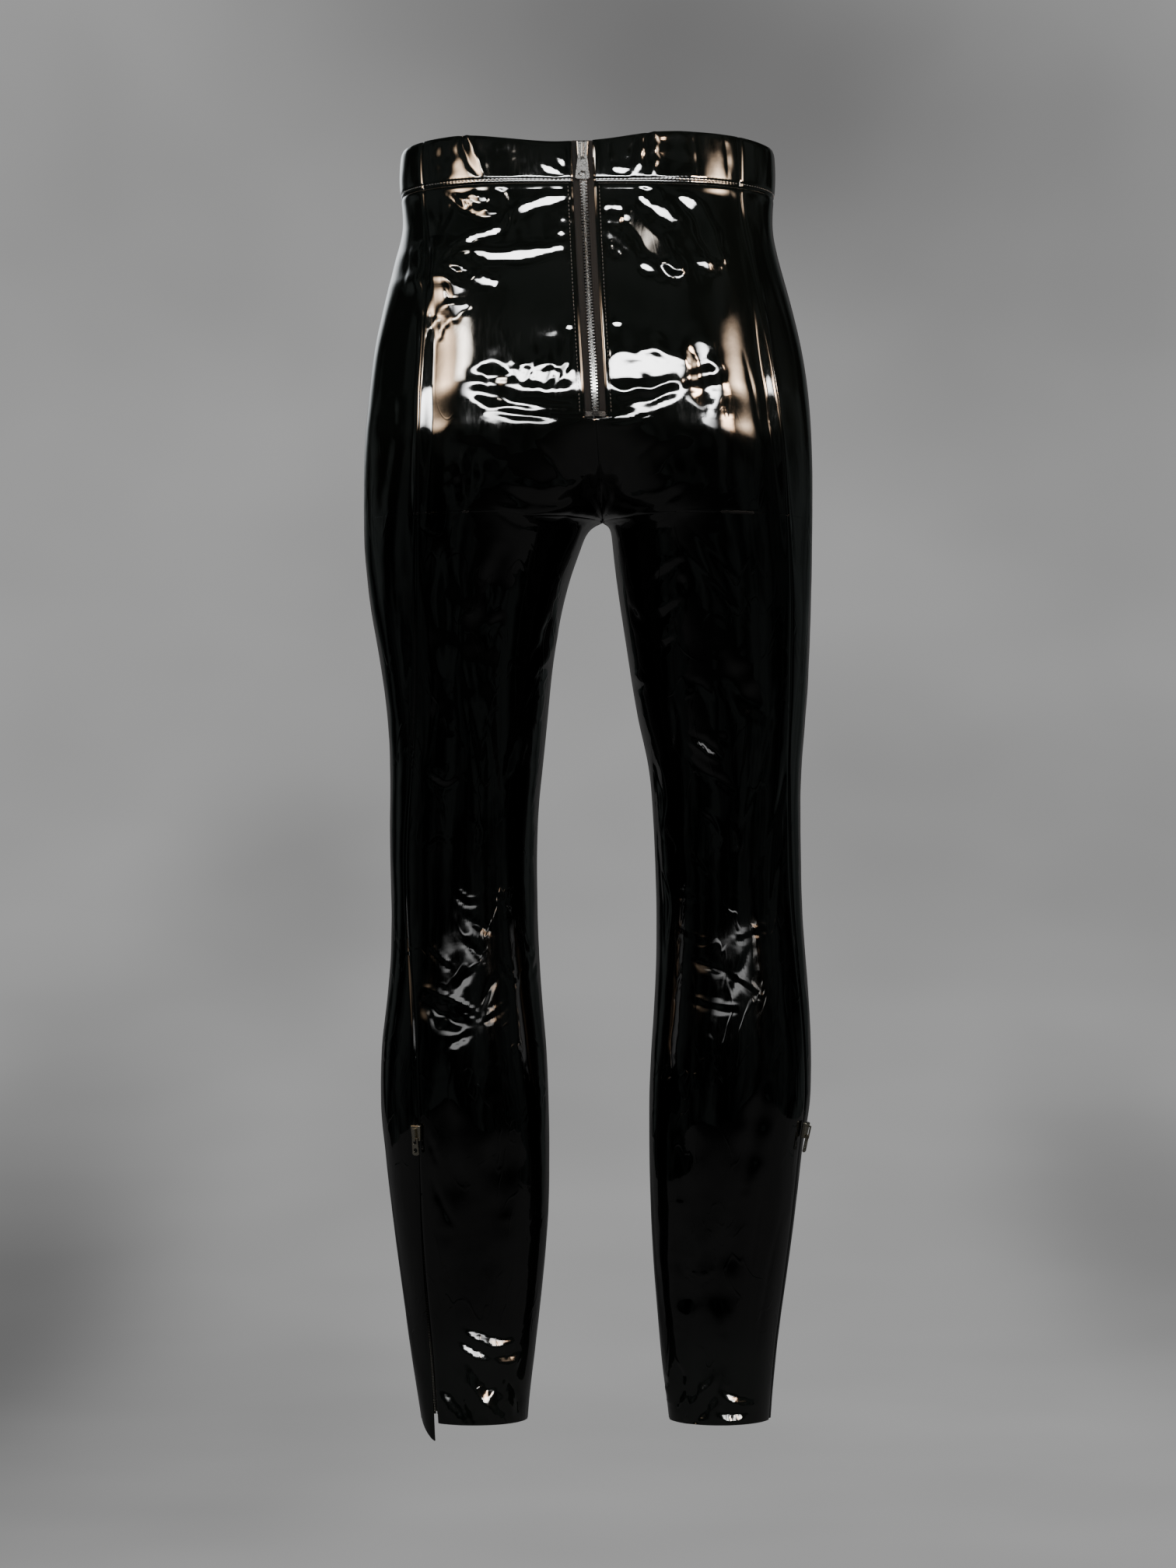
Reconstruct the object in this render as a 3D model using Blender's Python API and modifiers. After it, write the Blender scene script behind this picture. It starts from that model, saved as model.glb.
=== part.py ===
# High-waisted patent leather trousers, standing as they are worn with no wearer inside.
# The garment's back faces -Y, +Z is up, and the origin is the centre of the waist opening.
import math

import bmesh
import bpy
import numpy as np
from mathutils import Matrix, Vector

MM = 0.001

# Driving sizes, in millimetres
LEATHER = 1.4            # wall of a leg panel
BAND_WALL = 2.4          # two layers of leather and a stiffener
BAND_HEIGHT = 35.0
SEAM_GAP = 0.3           # between two pieces that are sewn together
CROTCH_Z = -280.0
CROTCH_Y = 5.0
SEAT_RISE = 95.0         # height over which the centre-back seam curves under
FLY_RISE = 72.0          # the same for the centre-front seam
HEM_Z = -962.0
ZIP_OPENING = 7.7        # half width between the leather edges beside the back zip
ZIP_END_Z = -210.5
TAPE_INNER = 3.4         # half gap between the back zip's tapes, under the chain
TAPE_WALL = 0.9
TAPE_SUNK = 0.4          # the tape's face lies this far under the leather's face
CHAIN_HALF = 2.9
CHAIN_PROUD = 0.9        # the chain's face stands this far over the leather's face
CHAIN_WALL = 1.2
CHAIN_TOP_Z = -18.6
SLIDER_Z = -11.2
VENT_TOP_Z = -752.0
VENT_HALF = 2.2          # half gap between the vent's edges at the hem
ANKLE_SLIDER_Z = -741.0
TAPE_UNDER = 1.3         # the ankle tapes hang this far inside the panels
TIP_DROP = 14.0          # how far the left front panel's corner hangs below the hem
BACK_COLUMNS = 9         # strips across a back panel
BACK_INNER = 4           # of which these lie inside the rearmost line of the leg
FRONT_COLUMNS = 10
FRONT_INNER = 4
DENSE = 30               # points in each quarter of a section before it is evened out

# Sections of the body: x of the outer and inner lines of each half, rearmost and foremost y,
# and the x of the rearmost and foremost points of each half.
BODY = np.array([
    # z      l_out   l_in   r_in   r_out  y_back y_front l_rear r_rear l_fore r_fore
    [    10,    -142,    -4.8,    -4.8,     142,     -91,      90,     -24,    15.8,     -24,    15.8],
    [     0,  -142.5,    -4.6,    -4.6,   142.5,     -92,      91,   -25.3,    17.5,   -25.3,    17.5],
    [   -35,  -143.5,    -3.4,    -3.4,   142.5,     -95,      95,   -27.2,    21.4,   -25.8,    19.9],
    [   -55,  -140.3,    -2.6,    -2.6,   140.4,     -95,      97,   -30.1,      26,     -26,    21.7],
    [   -80,    -147,    -1.4,    -1.4,     145,    -101,     101,   -39.3,    36.7,   -27.6,      25],
    [  -113,    -155,     0.2,     0.2,     154,    -112,     104,   -55.7,    55.6,   -32.4,    32.5],
    [  -150,    -163,     2.3,     2.3,   162.8,    -122,     104,   -70.4,    72.9,   -42.3,    45.6],
    [  -185,    -167,     4.4,     4.4,     168,    -127,     102,   -76.2,    81.3,   -52.2,    58.4],
    [  -220,    -170,     6.2,     6.2,   170.2,    -125,      99,   -78.4,    84.9,   -64.3,    71.8],
    [  -255,    -171,       9,       9,     171,    -116,      95,   -79.2,    88.4,     -74,    83.5],
    [  -280,  -170.8,      11,      11,     171,    -107,      91,   -81.5,    90.8,   -80.5,    89.6],
    [-282.5,  -170.8,     6.3,    14.6,     171,    -106,      91,     -82,    91.2,   -81.2,    90.2],
    [  -286,  -170.7,     1.8,      17,     171,    -105,      90,   -82.8,    91.7,   -82.2,      91],
    [  -292,  -170.5,    -2.6,    18.4,     171,    -103,      89,   -84.2,    92.6,     -84,    92.2],
    [  -309,    -170,    -8.4,    19.8,     171,     -98,      87,   -88.2,      95,   -88.2,      95],
    [  -327,  -168.2,   -14.6,      22,   170.6,     -94,      85,   -91.4,    96.3,   -91.4,    96.3],
    [  -345,  -166.5,   -18.8,    24.4,   170.2,     -90,      83,   -92.6,    97.3,   -92.6,    97.3],
    [  -362,  -163.6,   -22.2,    26.8,   169.8,     -86,      82,   -92.9,    98.3,   -92.9,    98.3],
    [  -398,  -157.6,   -27.2,    32.2,   168.6,     -78,      79,   -92.4,   100.4,   -92.4,   100.4],
    [  -434,  -153.4,   -30.6,    38.4,   166.4,     -71,      76,     -92,   102.4,     -92,   102.4],
    [  -469,  -151.4,   -34.2,    46.4,   163.8,     -65,      73,   -92.8,   105.1,   -92.8,   105.1],
    [  -505,  -151.6,   -37.6,    49.4,   162.8,     -60,      70,   -94.6,   106.1,   -94.6,   106.1],
    [  -541,  -151.4,   -38.5,      51,   162.9,     -58,      66,     -95,     107,     -95,     107],
    [  -576,  -150.6,     -38,    51.6,   164.2,     -58,      62,   -94.3,   107.9,   -94.3,   107.9],
    [  -612,    -151,   -36.4,    51.4,     167,     -60,      57,   -93.7,   109.2,   -93.7,   109.2],
    [  -647,  -154.4,     -34,    49.8,   169.4,     -64,      52,   -94.2,   109.6,   -94.2,   109.6],
    [  -683,  -158.4,   -30.8,    47.2,   170.4,     -67,      47,   -94.6,   108.8,   -94.6,   108.8],
    [  -719,  -158.6,   -29.2,    45.8,   169.8,     -67,      44,   -93.9,   107.8,   -93.9,   107.8],
    [  -754,  -155.4,   -28.4,    45.8,   163.6,     -64,      41,   -91.9,   104.7,   -91.9,   104.7],
    [  -790,  -151.9,   -28.6,    46.4,     160,     -59,      38,   -90.2,   103.2,   -90.2,   103.2],
    [  -843,  -145.4,     -32,    48.8,   153.8,     -54,      36,   -88.7,   101.3,   -88.7,   101.3],
    [  -879,  -140.3,   -35.6,    51.6,   148.6,     -52,      35,     -88,   100.1,     -88,   100.1],
    [  -915,  -135.2,   -39.8,    54.8,   144.4,     -50,      34,   -87.5,    99.6,   -87.5,    99.6],
    [  -950,  -129.6,     -44,    59.4,   140.8,     -50,      35,   -86.8,   100.1,   -86.8,   100.1],
    [  -980,    -125,     -46,      63,   138.8,     -50,      36,   -85.5,   100.9,   -85.5,   100.9],
])
Z, L_OUT, L_IN, R_IN, R_OUT, Y_BACK, Y_FRONT, L_REAR, R_REAR, L_FORE, R_FORE = range(11)

# Side seams, set toward the back: x of each by height
SIDE_SEAMS = np.array([
    # z     left     right
    [10,    -125,    113],
    [-40,   -124,    114],
    [-85,   -119,    122],
    [-135,  -122,    132],
    [-170,  -125,    139],
    [-220,  -127,    147],
    [-290,  -128,    151],
    [-345,  -128,    153],
    [-398,  -129,    153],
    [-469,  -134,    152],
    [-541,  -138.5,  153],
    [-612,  -135,    158],
    [-660,  -130.5,  163],
    [-719,  -128.5,  165],
    [-754,  -127,    160],
    [-790,  -126.5,  157],
    [-843,  -124,    151],
    [-915,  -118,    142],
    [-980,  -114,    137],
])

# Soft folds pressed into the panels: which face, ends (x, z), half width and depth (minus: a ridge)
FOLDS = [
    # face     x1     z1     x2     z2    width depth
    ("back",  -98,   -92,   -14,   -80,    11,  2.6),
    ("back",  -110,  -128,  -70,   -116,   12,  2.2),
    ("back",   34,   -64,    76,   -110,   11,  2.6),
    ("back",   70,   -52,    92,   -92,    11,  2.2),
    ("back",  -72,   -204,  -6,    -212,   10,  2.0),
    ("back",   14,   -208,   72,   -194,   10,  2.0),
    ("back",  -60,   -262,   2,    -270,   13,  2.6),
    ("back",   20,   -270,   80,   -258,   13,  2.6),
    ("back",  -46,   -330,  -56,   -440,   12,  2.4),
    ("back",   78,   -446,   112,  -482,   12,  2.6),
    ("back",  -132,  -632,  -76,   -654,   11,  3.0),
    ("back",  -40,   -612,  -62,   -644,   11,  3.0),
    ("back",   70,   -612,   104,  -622,   11,  2.6),
    ("back",  -96,   -580,  -66,   -598,   10,  2.2),
    ("back",   132,  -690,   122,  -760,   12,  2.4),
    ("front", -40,   -262,  -96,   -246,   14,  2.8),
    ("front",  56,   -262,   112,  -244,   14,  2.8),
    ("front", -120,  -556,  -62,   -540,   12,  3.0),
    ("front",  74,   -548,   134,  -560,   12,  3.0),
    ("front", -126,  -606,  -60,   -622,   12,  2.6),
    ("front",  72,   -618,   140,  -602,   12,  2.6),
    ("front", -118,  -846,  -62,   -862,   12,  2.6),
    ("front",  70,   -858,   128,  -842,   12,  2.6),
]

# The band's top edge waves a little: x along the back, and the height over the plane z = 0
TOP_WAVE = np.array([
    [-143, 0.0], [-124, 2.0], [-92, 3.0], [-48, -2.5], [-24, -4.5], [-8, -3.0],
    [8, -3.0], [30, 0.5], [57, 5.0], [90, 4.5], [115, 4.0], [143, 1.0],
])


def smooth(table, column, z):
    """A column of a table at height z, by monotone cubic interpolation."""
    rows = table[::-1]
    at, value = rows[:, 0], rows[:, column]
    step = np.diff(at)
    slope = np.diff(value) / step
    inner = np.zeros(len(at) - 2)
    same = slope[:-1] * slope[1:] > 0
    w1 = 2 * step[1:] + step[:-1]
    w2 = step[1:] + 2 * step[:-1]
    inner[same] = ((w1 + w2)[same]
                   / (w1[same] / slope[:-1][same] + w2[same] / slope[1:][same]))
    tangent = np.concatenate([[slope[0]], inner, [slope[-1]]])
    z = min(max(z, at[0]), at[-1])
    i = min(int(np.searchsorted(at, z, side="right")) - 1, len(step) - 1)
    t = (z - at[i]) / step[i]
    return (value[i] * (1 + 2 * t) * (1 - t) ** 2 + value[i + 1] * t * t * (3 - 2 * t)
            + step[i] * (tangent[i] * t * (1 - t) ** 2 - tangent[i + 1] * t * t * (1 - t)))


def inner_ends(z):
    """y of the back and front ends of a half's section: the seam line curves under to the crotch."""
    if z <= CROTCH_Z:
        y = CROTCH_Y + 4 * math.sin(min(1, (CROTCH_Z - z) / 240) * math.pi / 2)
        y -= 22 * max(0, min(1, (-540 - z) / 240))
        return y, y
    back_part = min(1, (z - CROTCH_Z) / SEAT_RISE)
    front_part = min(1, (z - CROTCH_Z) / FLY_RISE)
    cleft = 4.0 * max(0, 1 - abs(z + 185) / 110)
    back = smooth(BODY, Y_BACK, z) + cleft
    front = smooth(BODY, Y_FRONT, z)
    return (CROTCH_Y + (back - CROTCH_Y) * math.sqrt(1 - (1 - back_part) ** 2),
            CROTCH_Y + (front - CROTCH_Y) * math.sqrt(1 - (1 - front_part) ** 2))


def section(side, z):
    """Half a section at height z as dense points, from the inner back end round the side to the
    inner front end, with the distance along it and the distance at the side seam."""
    columns = (L_OUT, L_IN, L_REAR, L_FORE) if side == "left" else (R_OUT, R_IN, R_REAR, R_FORE)
    x_out, x_in, x_back, x_front = [smooth(BODY, column, z) for column in columns]
    y_back, y_front = smooth(BODY, Y_BACK, z), smooth(BODY, Y_FRONT, z)
    y_out = 0.5 * (y_back + y_front) * min(1, max(0, (-180 - z) / 100))
    end_back, end_front = inner_ends(z)
    leg = min(1, max(0, (-205 - z) / 75))
    leg = leg * leg * (3 - 2 * leg)
    t = np.linspace(0, 1, DENSE + 1)
    round_x, round_y = 1 - np.cos(t * math.pi / 2), np.sin(t * math.pi / 2)
    flat_y = (1 - np.cos(t * math.pi)) / 2
    along_x, along_y = t + (round_x - t) * leg, flat_y + (round_y - flat_y) * leg
    quarter = np.linspace(0, math.pi / 2, DENSE + 1)
    bulge = 2 / (2.0 + 0.2 * (1 - leg))
    cos_q, sin_q = np.cos(quarter) ** bulge, np.sin(quarter) ** bulge
    x = np.concatenate([
        x_in + (x_back - x_in) * along_x, x_back + (x_out - x_back) * sin_q[1:],
        x_front + (x_out - x_front) * cos_q[1:], (x_in + (x_front - x_in) * along_x)[::-1][1:]])
    y = np.concatenate([
        end_back + (y_back - end_back) * along_y, y_out + (y_back - y_out) * cos_q[1:],
        y_out + (y_front - y_out) * sin_q[1:], (end_front + (y_front - end_front) * along_y)[::-1][1:]])
    distance = np.concatenate([[0], np.cumsum(np.hypot(np.diff(x), np.diff(y)))])
    seam_x = smooth(SIDE_SEAMS, 1 if side == "left" else 2, z)
    part = slice(DENSE, 2 * DENSE + 1)
    sign = -1 if side == "left" else 1
    seam = float(np.interp(seam_x * sign, x[part] * sign, distance[part]))
    return x, y, distance, seam


def columns_at(side, panel, z):
    """Distances along the section at which a panel has its points, at height z."""
    _, _, distance, seam = section(side, z)
    half = SEAM_GAP / 2
    vent = half + (VENT_HALF - half) * min(1, max(0, (VENT_TOP_Z - z) / (VENT_TOP_Z - HEM_Z)))
    settle = min(1, max(0, (-110 - z) / 130))
    if panel == "back":
        low, high = (ZIP_OPENING if z > ZIP_END_Z - 1 else half), seam - vent
        middle, count = distance[DENSE], BACK_COLUMNS
        split = BACK_INNER
    else:
        low, high = seam + vent, distance[-1] - half
        middle, count = distance[3 * DENSE], FRONT_COLUMNS
        split = FRONT_COLUMNS - FRONT_INNER
    even = low + (high - low) * split / count
    middle = even + (middle - even) * settle
    return np.concatenate([np.linspace(low, middle, split + 1),
                           np.linspace(middle, high, count - split + 1)[1:]])


def fold_depth(x, y, z, middle):
    """How far the folds press the leather in at a point."""
    depth = 0.0
    for face, x1, z1, x2, z2, width, deep in FOLDS:
        if (y < middle) != (face == "back"):
            continue
        px, pz, dx, dz = x - x1, z - z1, x2 - x1, z2 - z1
        length = dx * dx + dz * dz
        t = min(1, max(0, (px * dx + pz * dz) / length))
        away = math.hypot(px - t * dx, pz - t * dz)
        fade = min(1, 3 * min(t, 1 - t) + 0.35)
        depth += deep * fade * math.exp(-(away / width) ** 2)
    return depth


def surface(side, z, s):
    """Point and outward normal of the smooth form at height z, a distance s along the section."""
    def at(height, part):
        x, y, distance, _ = section(side, height)
        where = part * distance[-1]
        return np.array([np.interp(where, distance, x), np.interp(where, distance, y), height])

    x, y, distance, _ = section(side, z)
    total = distance[-1]
    part = s / total
    point = at(z, part)
    if z >= CROTCH_Z:
        centre_line = smooth(BODY, L_IN, z)
        if side == "left":
            point[0] = min(point[0], centre_line - SEAM_GAP / 2)
        else:
            point[0] = max(point[0], centre_line + SEAM_GAP / 2)
    end = s < 1.0 or s > total - 1.0
    if end and abs(z - CROTCH_Z) < 1.5:
        return point, np.array([0, 0, -1.0])
    across = at(z, min(1, part + 2 / total)) - at(z, max(0, part - 2 / total))
    if end and z > CROTCH_Z:
        across = np.array([-1.0 if side == "left" else 1.0, 0, 0]) * (1 if part < 0.5 else -1)
    elif end:
        across = np.array([0, -1.0 if part < 0.5 else 1.0, 0]) * (1 if part < 0.5 else -1)
    below = CROTCH_Z + 0.01 if z > CROTCH_Z else -2000
    above = 2000 if z > CROTCH_Z else CROTCH_Z - 0.01
    up = at(min(z + 1, above), part) - at(max(z - 1, below), part)
    normal = np.cross(across, up)
    normal /= np.linalg.norm(normal)
    outward = np.array([-1.0 if side == "left" else 1.0, 0, 0])
    centre = 0.5 * (smooth(BODY, Y_BACK, z) + smooth(BODY, Y_FRONT, z))
    if end and z > CROTCH_Z:
        outward = np.array([0, point[1] - centre, 0])
    elif end:
        outward = -outward
    elif abs(normal[0]) < abs(normal[1]):
        outward = np.array([0, point[1] - centre, 0])
    elif abs(point[0]) < abs(smooth(BODY, L_OUT, z)) * 0.5:
        outward = outward * (1 if z > CROTCH_Z else -1)
    return point, normal if normal @ outward > 0 else -normal


def pressed(side, z, s, drop=0.0):
    """The surface with the folds pressed in, fading out at the edges of a panel."""
    point, normal = surface(side, z, s)
    _, _, distance, seam = section(side, z)
    edge = min(abs(s), abs(s - seam), abs(distance[-1] - s))
    fade = min(1, edge / 14) * min(1, abs(z + BAND_HEIGHT) / 20)
    middle = 0.5 * (smooth(BODY, Y_BACK, z) + smooth(BODY, Y_FRONT, z))
    depth = fold_depth(point[0], point[1], z, middle) * fade
    point = point - normal * depth
    point[2] += drop
    return point, normal


def shell(name, grid, wall, material):
    """A sheet of the given wall under a grid of (point, normal), closed round its rim."""
    rows, columns = len(grid), len(grid[0])
    mesh = bpy.data.meshes.new(name)
    bm = bmesh.new()
    layers = [[[bm.verts.new((point - normal * inward) * MM) for point, normal in row]
               for row in grid] for inward in (0, wall)]
    outer, inner = layers
    for i in range(rows - 1):
        for j in range(columns - 1):
            bm.faces.new((outer[i][j], outer[i][j + 1], outer[i + 1][j + 1], outer[i + 1][j]))
            bm.faces.new((inner[i][j], inner[i + 1][j], inner[i + 1][j + 1], inner[i][j + 1]))
    rim = ([(0, j) for j in range(columns)] + [(i, columns - 1) for i in range(1, rows)]
           + [(rows - 1, j) for j in range(columns - 2, -1, -1)]
           + [(i, 0) for i in range(rows - 2, 0, -1)])
    for (a, b), (c, d) in zip(rim, rim[1:] + rim[:1]):
        bm.faces.new((outer[a][b], inner[a][b], inner[c][d], outer[c][d]))
    bmesh.ops.recalc_face_normals(bm, faces=bm.faces)
    bm.to_mesh(mesh)
    bm.free()
    if sum(f.area * f.normal.dot(f.center) for f in mesh.polygons) < 0:
        mesh.flip_normals()
    obj = bpy.data.objects.new(name, mesh)
    garment.objects.link(obj)
    mesh.materials.append(material)
    return obj


def made(name, colour, roughness, metallic=0.0):
    material = bpy.data.materials.new(name)
    material.use_nodes = True
    shader = material.node_tree.nodes["Principled BSDF"]
    shader.inputs["Base Color"].default_value = (*colour, 1)
    shader.inputs["Roughness"].default_value = roughness
    shader.inputs["Metallic"].default_value = metallic
    return material


for old in list(bpy.data.objects):
    bpy.data.objects.remove(old)
garment = bpy.data.collections.new("patent_trousers")
cutters = bpy.data.collections.new("cutters")
bpy.context.scene.collection.children.link(garment)
bpy.context.scene.collection.children.link(cutters)

leather = made("patent_leather", (0.006, 0.007, 0.007), 0.12)
webbing = made("zip_tape", (0.03, 0.03, 0.03), 0.8)
dark_metal = made("zip_metal", (0.34, 0.34, 0.33), 0.3, 1.0)
pale_metal = made("ankle_zip_metal", (0.62, 0.58, 0.46), 0.3, 1.0)

# Leg panels, cut from the waist seam to the hem
TORSO_ROWS = [-35.3, -50, -66, -84, -103, -123, -143, -163, -182, -198, -210.8, -212, -226,
              -240, -252, -262, -270, -275.5, -279, -280]
LEG_ROWS = [-281, -283, -287, -294, -305, -320, -340, -365, -392, -420, -448, -476, -504, -530,
            -556, -580, -602, -622, -642, -662, -686, -712, -736, -752, -774, -798, -824, -850,
            -878, -906, -934, HEM_Z]
for side in ("left", "right"):
    for panel in ("back", "front"):
        grid = []
        for z in TORSO_ROWS + LEG_ROWS:
            places = columns_at(side, panel, z)
            row = []
            for s in places:
                drop = 0.0
                if side == "left" and panel == "front" and z == HEM_Z:
                    drop = -TIP_DROP * max(0, 1 - (s - places[0]) / 22)
                row.append(pressed(side, z, s, drop))
            grid.append(row)
        shell(f"{panel}_{side}", grid, LEATHER, leather)


# Waistband: two back parts that meet the zip and one part across the front
def wave(side, s, z, seam):
    """Rise of the band's top edge, gone at its bottom seam and all along the front."""
    x, y, distance, _ = section(side, z)
    at_x = float(np.interp(s, distance, x))
    rise = float(np.interp(at_x, TOP_WAVE[:, 0], TOP_WAVE[:, 1]))
    if s > seam:
        rise *= max(0, 1 - (s - seam) / 40)
    return rise * (1 + z / BAND_HEIGHT)


def band_row(side, z, low, high, count):
    seam = section(side, z)[3]
    row = []
    for s in np.linspace(low, high, count):
        point, normal = surface(side, z, s)
        row.append((point + np.array([0, 0, wave(side, s, z, seam)]), normal))
    return row


BAND_ROWS = [0.0, -11.7, -23.3, -BAND_HEIGHT]
for side in ("left", "right"):
    grid = []
    for z in BAND_ROWS:
        seam = section(side, z)[3]
        grid.append(band_row(side, z, ZIP_OPENING, seam - SEAM_GAP / 2, 13))
    shell(f"waistband_back_{side}", grid, BAND_WALL, leather)
grid = []
for z in BAND_ROWS:
    left_half = section("left", z)
    right_half = section("right", z)
    left_row = band_row("left", z, left_half[3] + SEAM_GAP / 2, left_half[2][-1], 13)
    right_row = band_row("right", z, right_half[3] + SEAM_GAP / 2, right_half[2][-1], 13)
    grid.append(left_row + right_row[::-1][1:])
shell("waistband_front", grid, BAND_WALL, leather)


# Back zip: two tapes, the closed chain, its stops
def strip(name, side, low, high, z_rows, sunk, wall, material, columns=2):
    """A strip between two distances from the centre-back line, sunk under the leather's face."""
    grid = []
    for z in z_rows:
        row = []
        for s in np.linspace(low, high, columns + 1):
            point, normal = surface(side if s >= 0 else "left", z, abs(s))
            row.append((point - normal * sunk, normal))
        grid.append(row)
    return shell(name, grid, wall, material)


tape_rows = np.linspace(-4.0, ZIP_END_Z + 0.4, 13)
for side in ("left", "right"):
    strip(f"back_zip_tape_{side}", side, TAPE_INNER, ZIP_OPENING - SEAM_GAP, tape_rows,
          TAPE_SUNK, TAPE_WALL, webbing)
strip("back_zip_chain", "right", -CHAIN_HALF, CHAIN_HALF,
      np.linspace(CHAIN_TOP_Z, ZIP_END_Z + 5.2, 14), -CHAIN_PROUD, CHAIN_WALL + CHAIN_PROUD,
      dark_metal)
strip("back_zip_bottom_stop", "right", -CHAIN_HALF, CHAIN_HALF,
      [ZIP_END_Z + 4.6, ZIP_END_Z + 0.8], -CHAIN_PROUD, CHAIN_WALL + CHAIN_PROUD, dark_metal)


def box(name, low, high, place, collection, bevel=0.0, material=None):
    """A box between two corners in a zip's own frame, X across, -Y outward, Z up."""
    bm = bmesh.new()
    bmesh.ops.create_cube(bm, size=1)
    for vertex in bm.verts:
        for k in range(3):
            vertex.co[k] = (low[k] + (vertex.co[k] + 0.5) * (high[k] - low[k])) * MM
    mesh = bpy.data.meshes.new(name)
    bm.to_mesh(mesh)
    bm.free()
    obj = bpy.data.objects.new(name, mesh)
    obj.matrix_world = place
    collection.objects.link(obj)
    if bevel:
        rounded = obj.modifiers.new("edges", "BEVEL")
        rounded.width = bevel * MM
        rounded.segments = 2
    if material:
        mesh.materials.append(material)
    return obj


def cut(obj, cutter):
    cutter.hide_render = True
    tool = obj.modifiers.new(cutter.name, "BOOLEAN")
    tool.object = cutter
    tool.solver = "EXACT"
    tool.operation = "DIFFERENCE"


def join(obj, added):
    added.hide_render = True
    tool = obj.modifiers.new(added.name, "BOOLEAN")
    tool.object = added
    tool.solver = "EXACT"
    tool.operation = "UNION"


# Slider and pull of a zip, as sizes in millimetres that all scale together
HINGE_OUT = 4.7          # the pull's axis stands this far over the leather's face
HINGE_DOWN = 4.4         # and this far under the slider's middle
BAR_RADIUS = 0.5


def zip_pull(name, place, size, top_half, bottom_half, length, material):
    """A flared plate on a round bar. Its origin is on the bar's axis."""
    thick = 0.6
    points = [(-top_half, 1.0), (top_half, 1.0), (bottom_half, -length + 1.2),
              (bottom_half - 1.4, -length), (-bottom_half + 1.4, -length),
              (-bottom_half, -length + 1.2)]
    bm = bmesh.new()
    face = bm.faces.new([bm.verts.new((x * MM * size, thick * MM * size, z * MM * size))
                         for x, z in points])
    pushed = bmesh.ops.extrude_face_region(bm, geom=[face])["geom"]
    moved = [g for g in pushed if isinstance(g, bmesh.types.BMVert)]
    bmesh.ops.translate(bm, verts=moved, vec=(0, -2 * thick * MM * size, 0))
    bmesh.ops.recalc_face_normals(bm, faces=bm.faces)
    mesh = bpy.data.meshes.new(name)
    bm.to_mesh(mesh)
    bm.free()
    obj = bpy.data.objects.new(name, mesh)
    obj.matrix_world = place
    garment.objects.link(obj)
    mesh.materials.append(material)
    eye = box(name + "_eye", (-1.35 * size, -3 * size, -4.3 * size),
              (1.35 * size, 3 * size, -BAR_RADIUS * size), place, cutters)
    cut(obj, eye)
    over = box(name + "_over", (-1.35 * size, -3 * size, BAR_RADIUS * size),
               (1.35 * size, 3 * size, 3 * size), place, cutters)
    cut(obj, over)
    bpy.ops.mesh.primitive_cylinder_add(vertices=20, radius=1, depth=2)
    slot = bpy.context.active_object
    slot.name = name + "_slot"
    turn = Matrix.Rotation(math.pi / 2, 4, "X")
    wide = Matrix.Diagonal((bottom_half * 0.55 * MM * size, 3 * MM * size, 1.9 * MM * size, 1))
    slot.matrix_world = place @ Matrix.Translation((0, 0, (-length + 4.2) * MM * size)) @ wide @ turn
    for holder in list(slot.users_collection):
        holder.objects.unlink(slot)
    cutters.objects.link(slot)
    cut(obj, slot)
    rounded = obj.modifiers.new("edges", "BEVEL")
    rounded.width = 0.18 * MM * size
    rounded.segments = 1
    return obj


def zip_slider(name, place, size, material):
    """The slider's body with the bridge that holds the pull."""
    body = box(name, (-4.6 * size, -3.6 * size, -6.8 * size), (4.6 * size, 0.1, 6.8 * size),
               place, garment, 0.9 * size, material)
    for vertex in body.data.vertices:
        if vertex.co.z < 0:
            vertex.co.x *= 0.8
    bridge = box(name + "_bridge", (-0.9 * size, -6.4 * size, -6.4 * size),
                 (0.9 * size, -3.2 * size, 4.6 * size), place, cutters, 0.3 * size)
    gap = box(name + "_gap", (-3 * size, -5.4 * size, -5.2 * size),
              (3 * size, -3.7 * size, 3.4 * size), place, cutters)
    join(body, bridge)
    cut(body, gap)
    return body


def zip_place(side, z, s):
    """Frame of a zip at a place on the surface: X across, -Y outward, Z along the surface."""
    point, normal = surface(side, z, s)
    outward = Vector(normal)
    across = outward.cross(Vector((0, 0, 1))).normalized() * -1
    along = across.cross(outward * -1).normalized()
    turn = Matrix((across, outward * -1, along)).transposed().to_4x4()
    return Matrix.Translation(Vector(point) * MM) @ turn


place = zip_place("right", SLIDER_Z, 0.0)
zip_slider("back_zip_slider", place, 1.0, dark_metal)
hinge = place @ Matrix.Translation((0, -HINGE_OUT * MM, -HINGE_DOWN * MM))
zip_pull("back_zip_pull", hinge, 1.0, 3.3, 5.5, 18.5, dark_metal)

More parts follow.
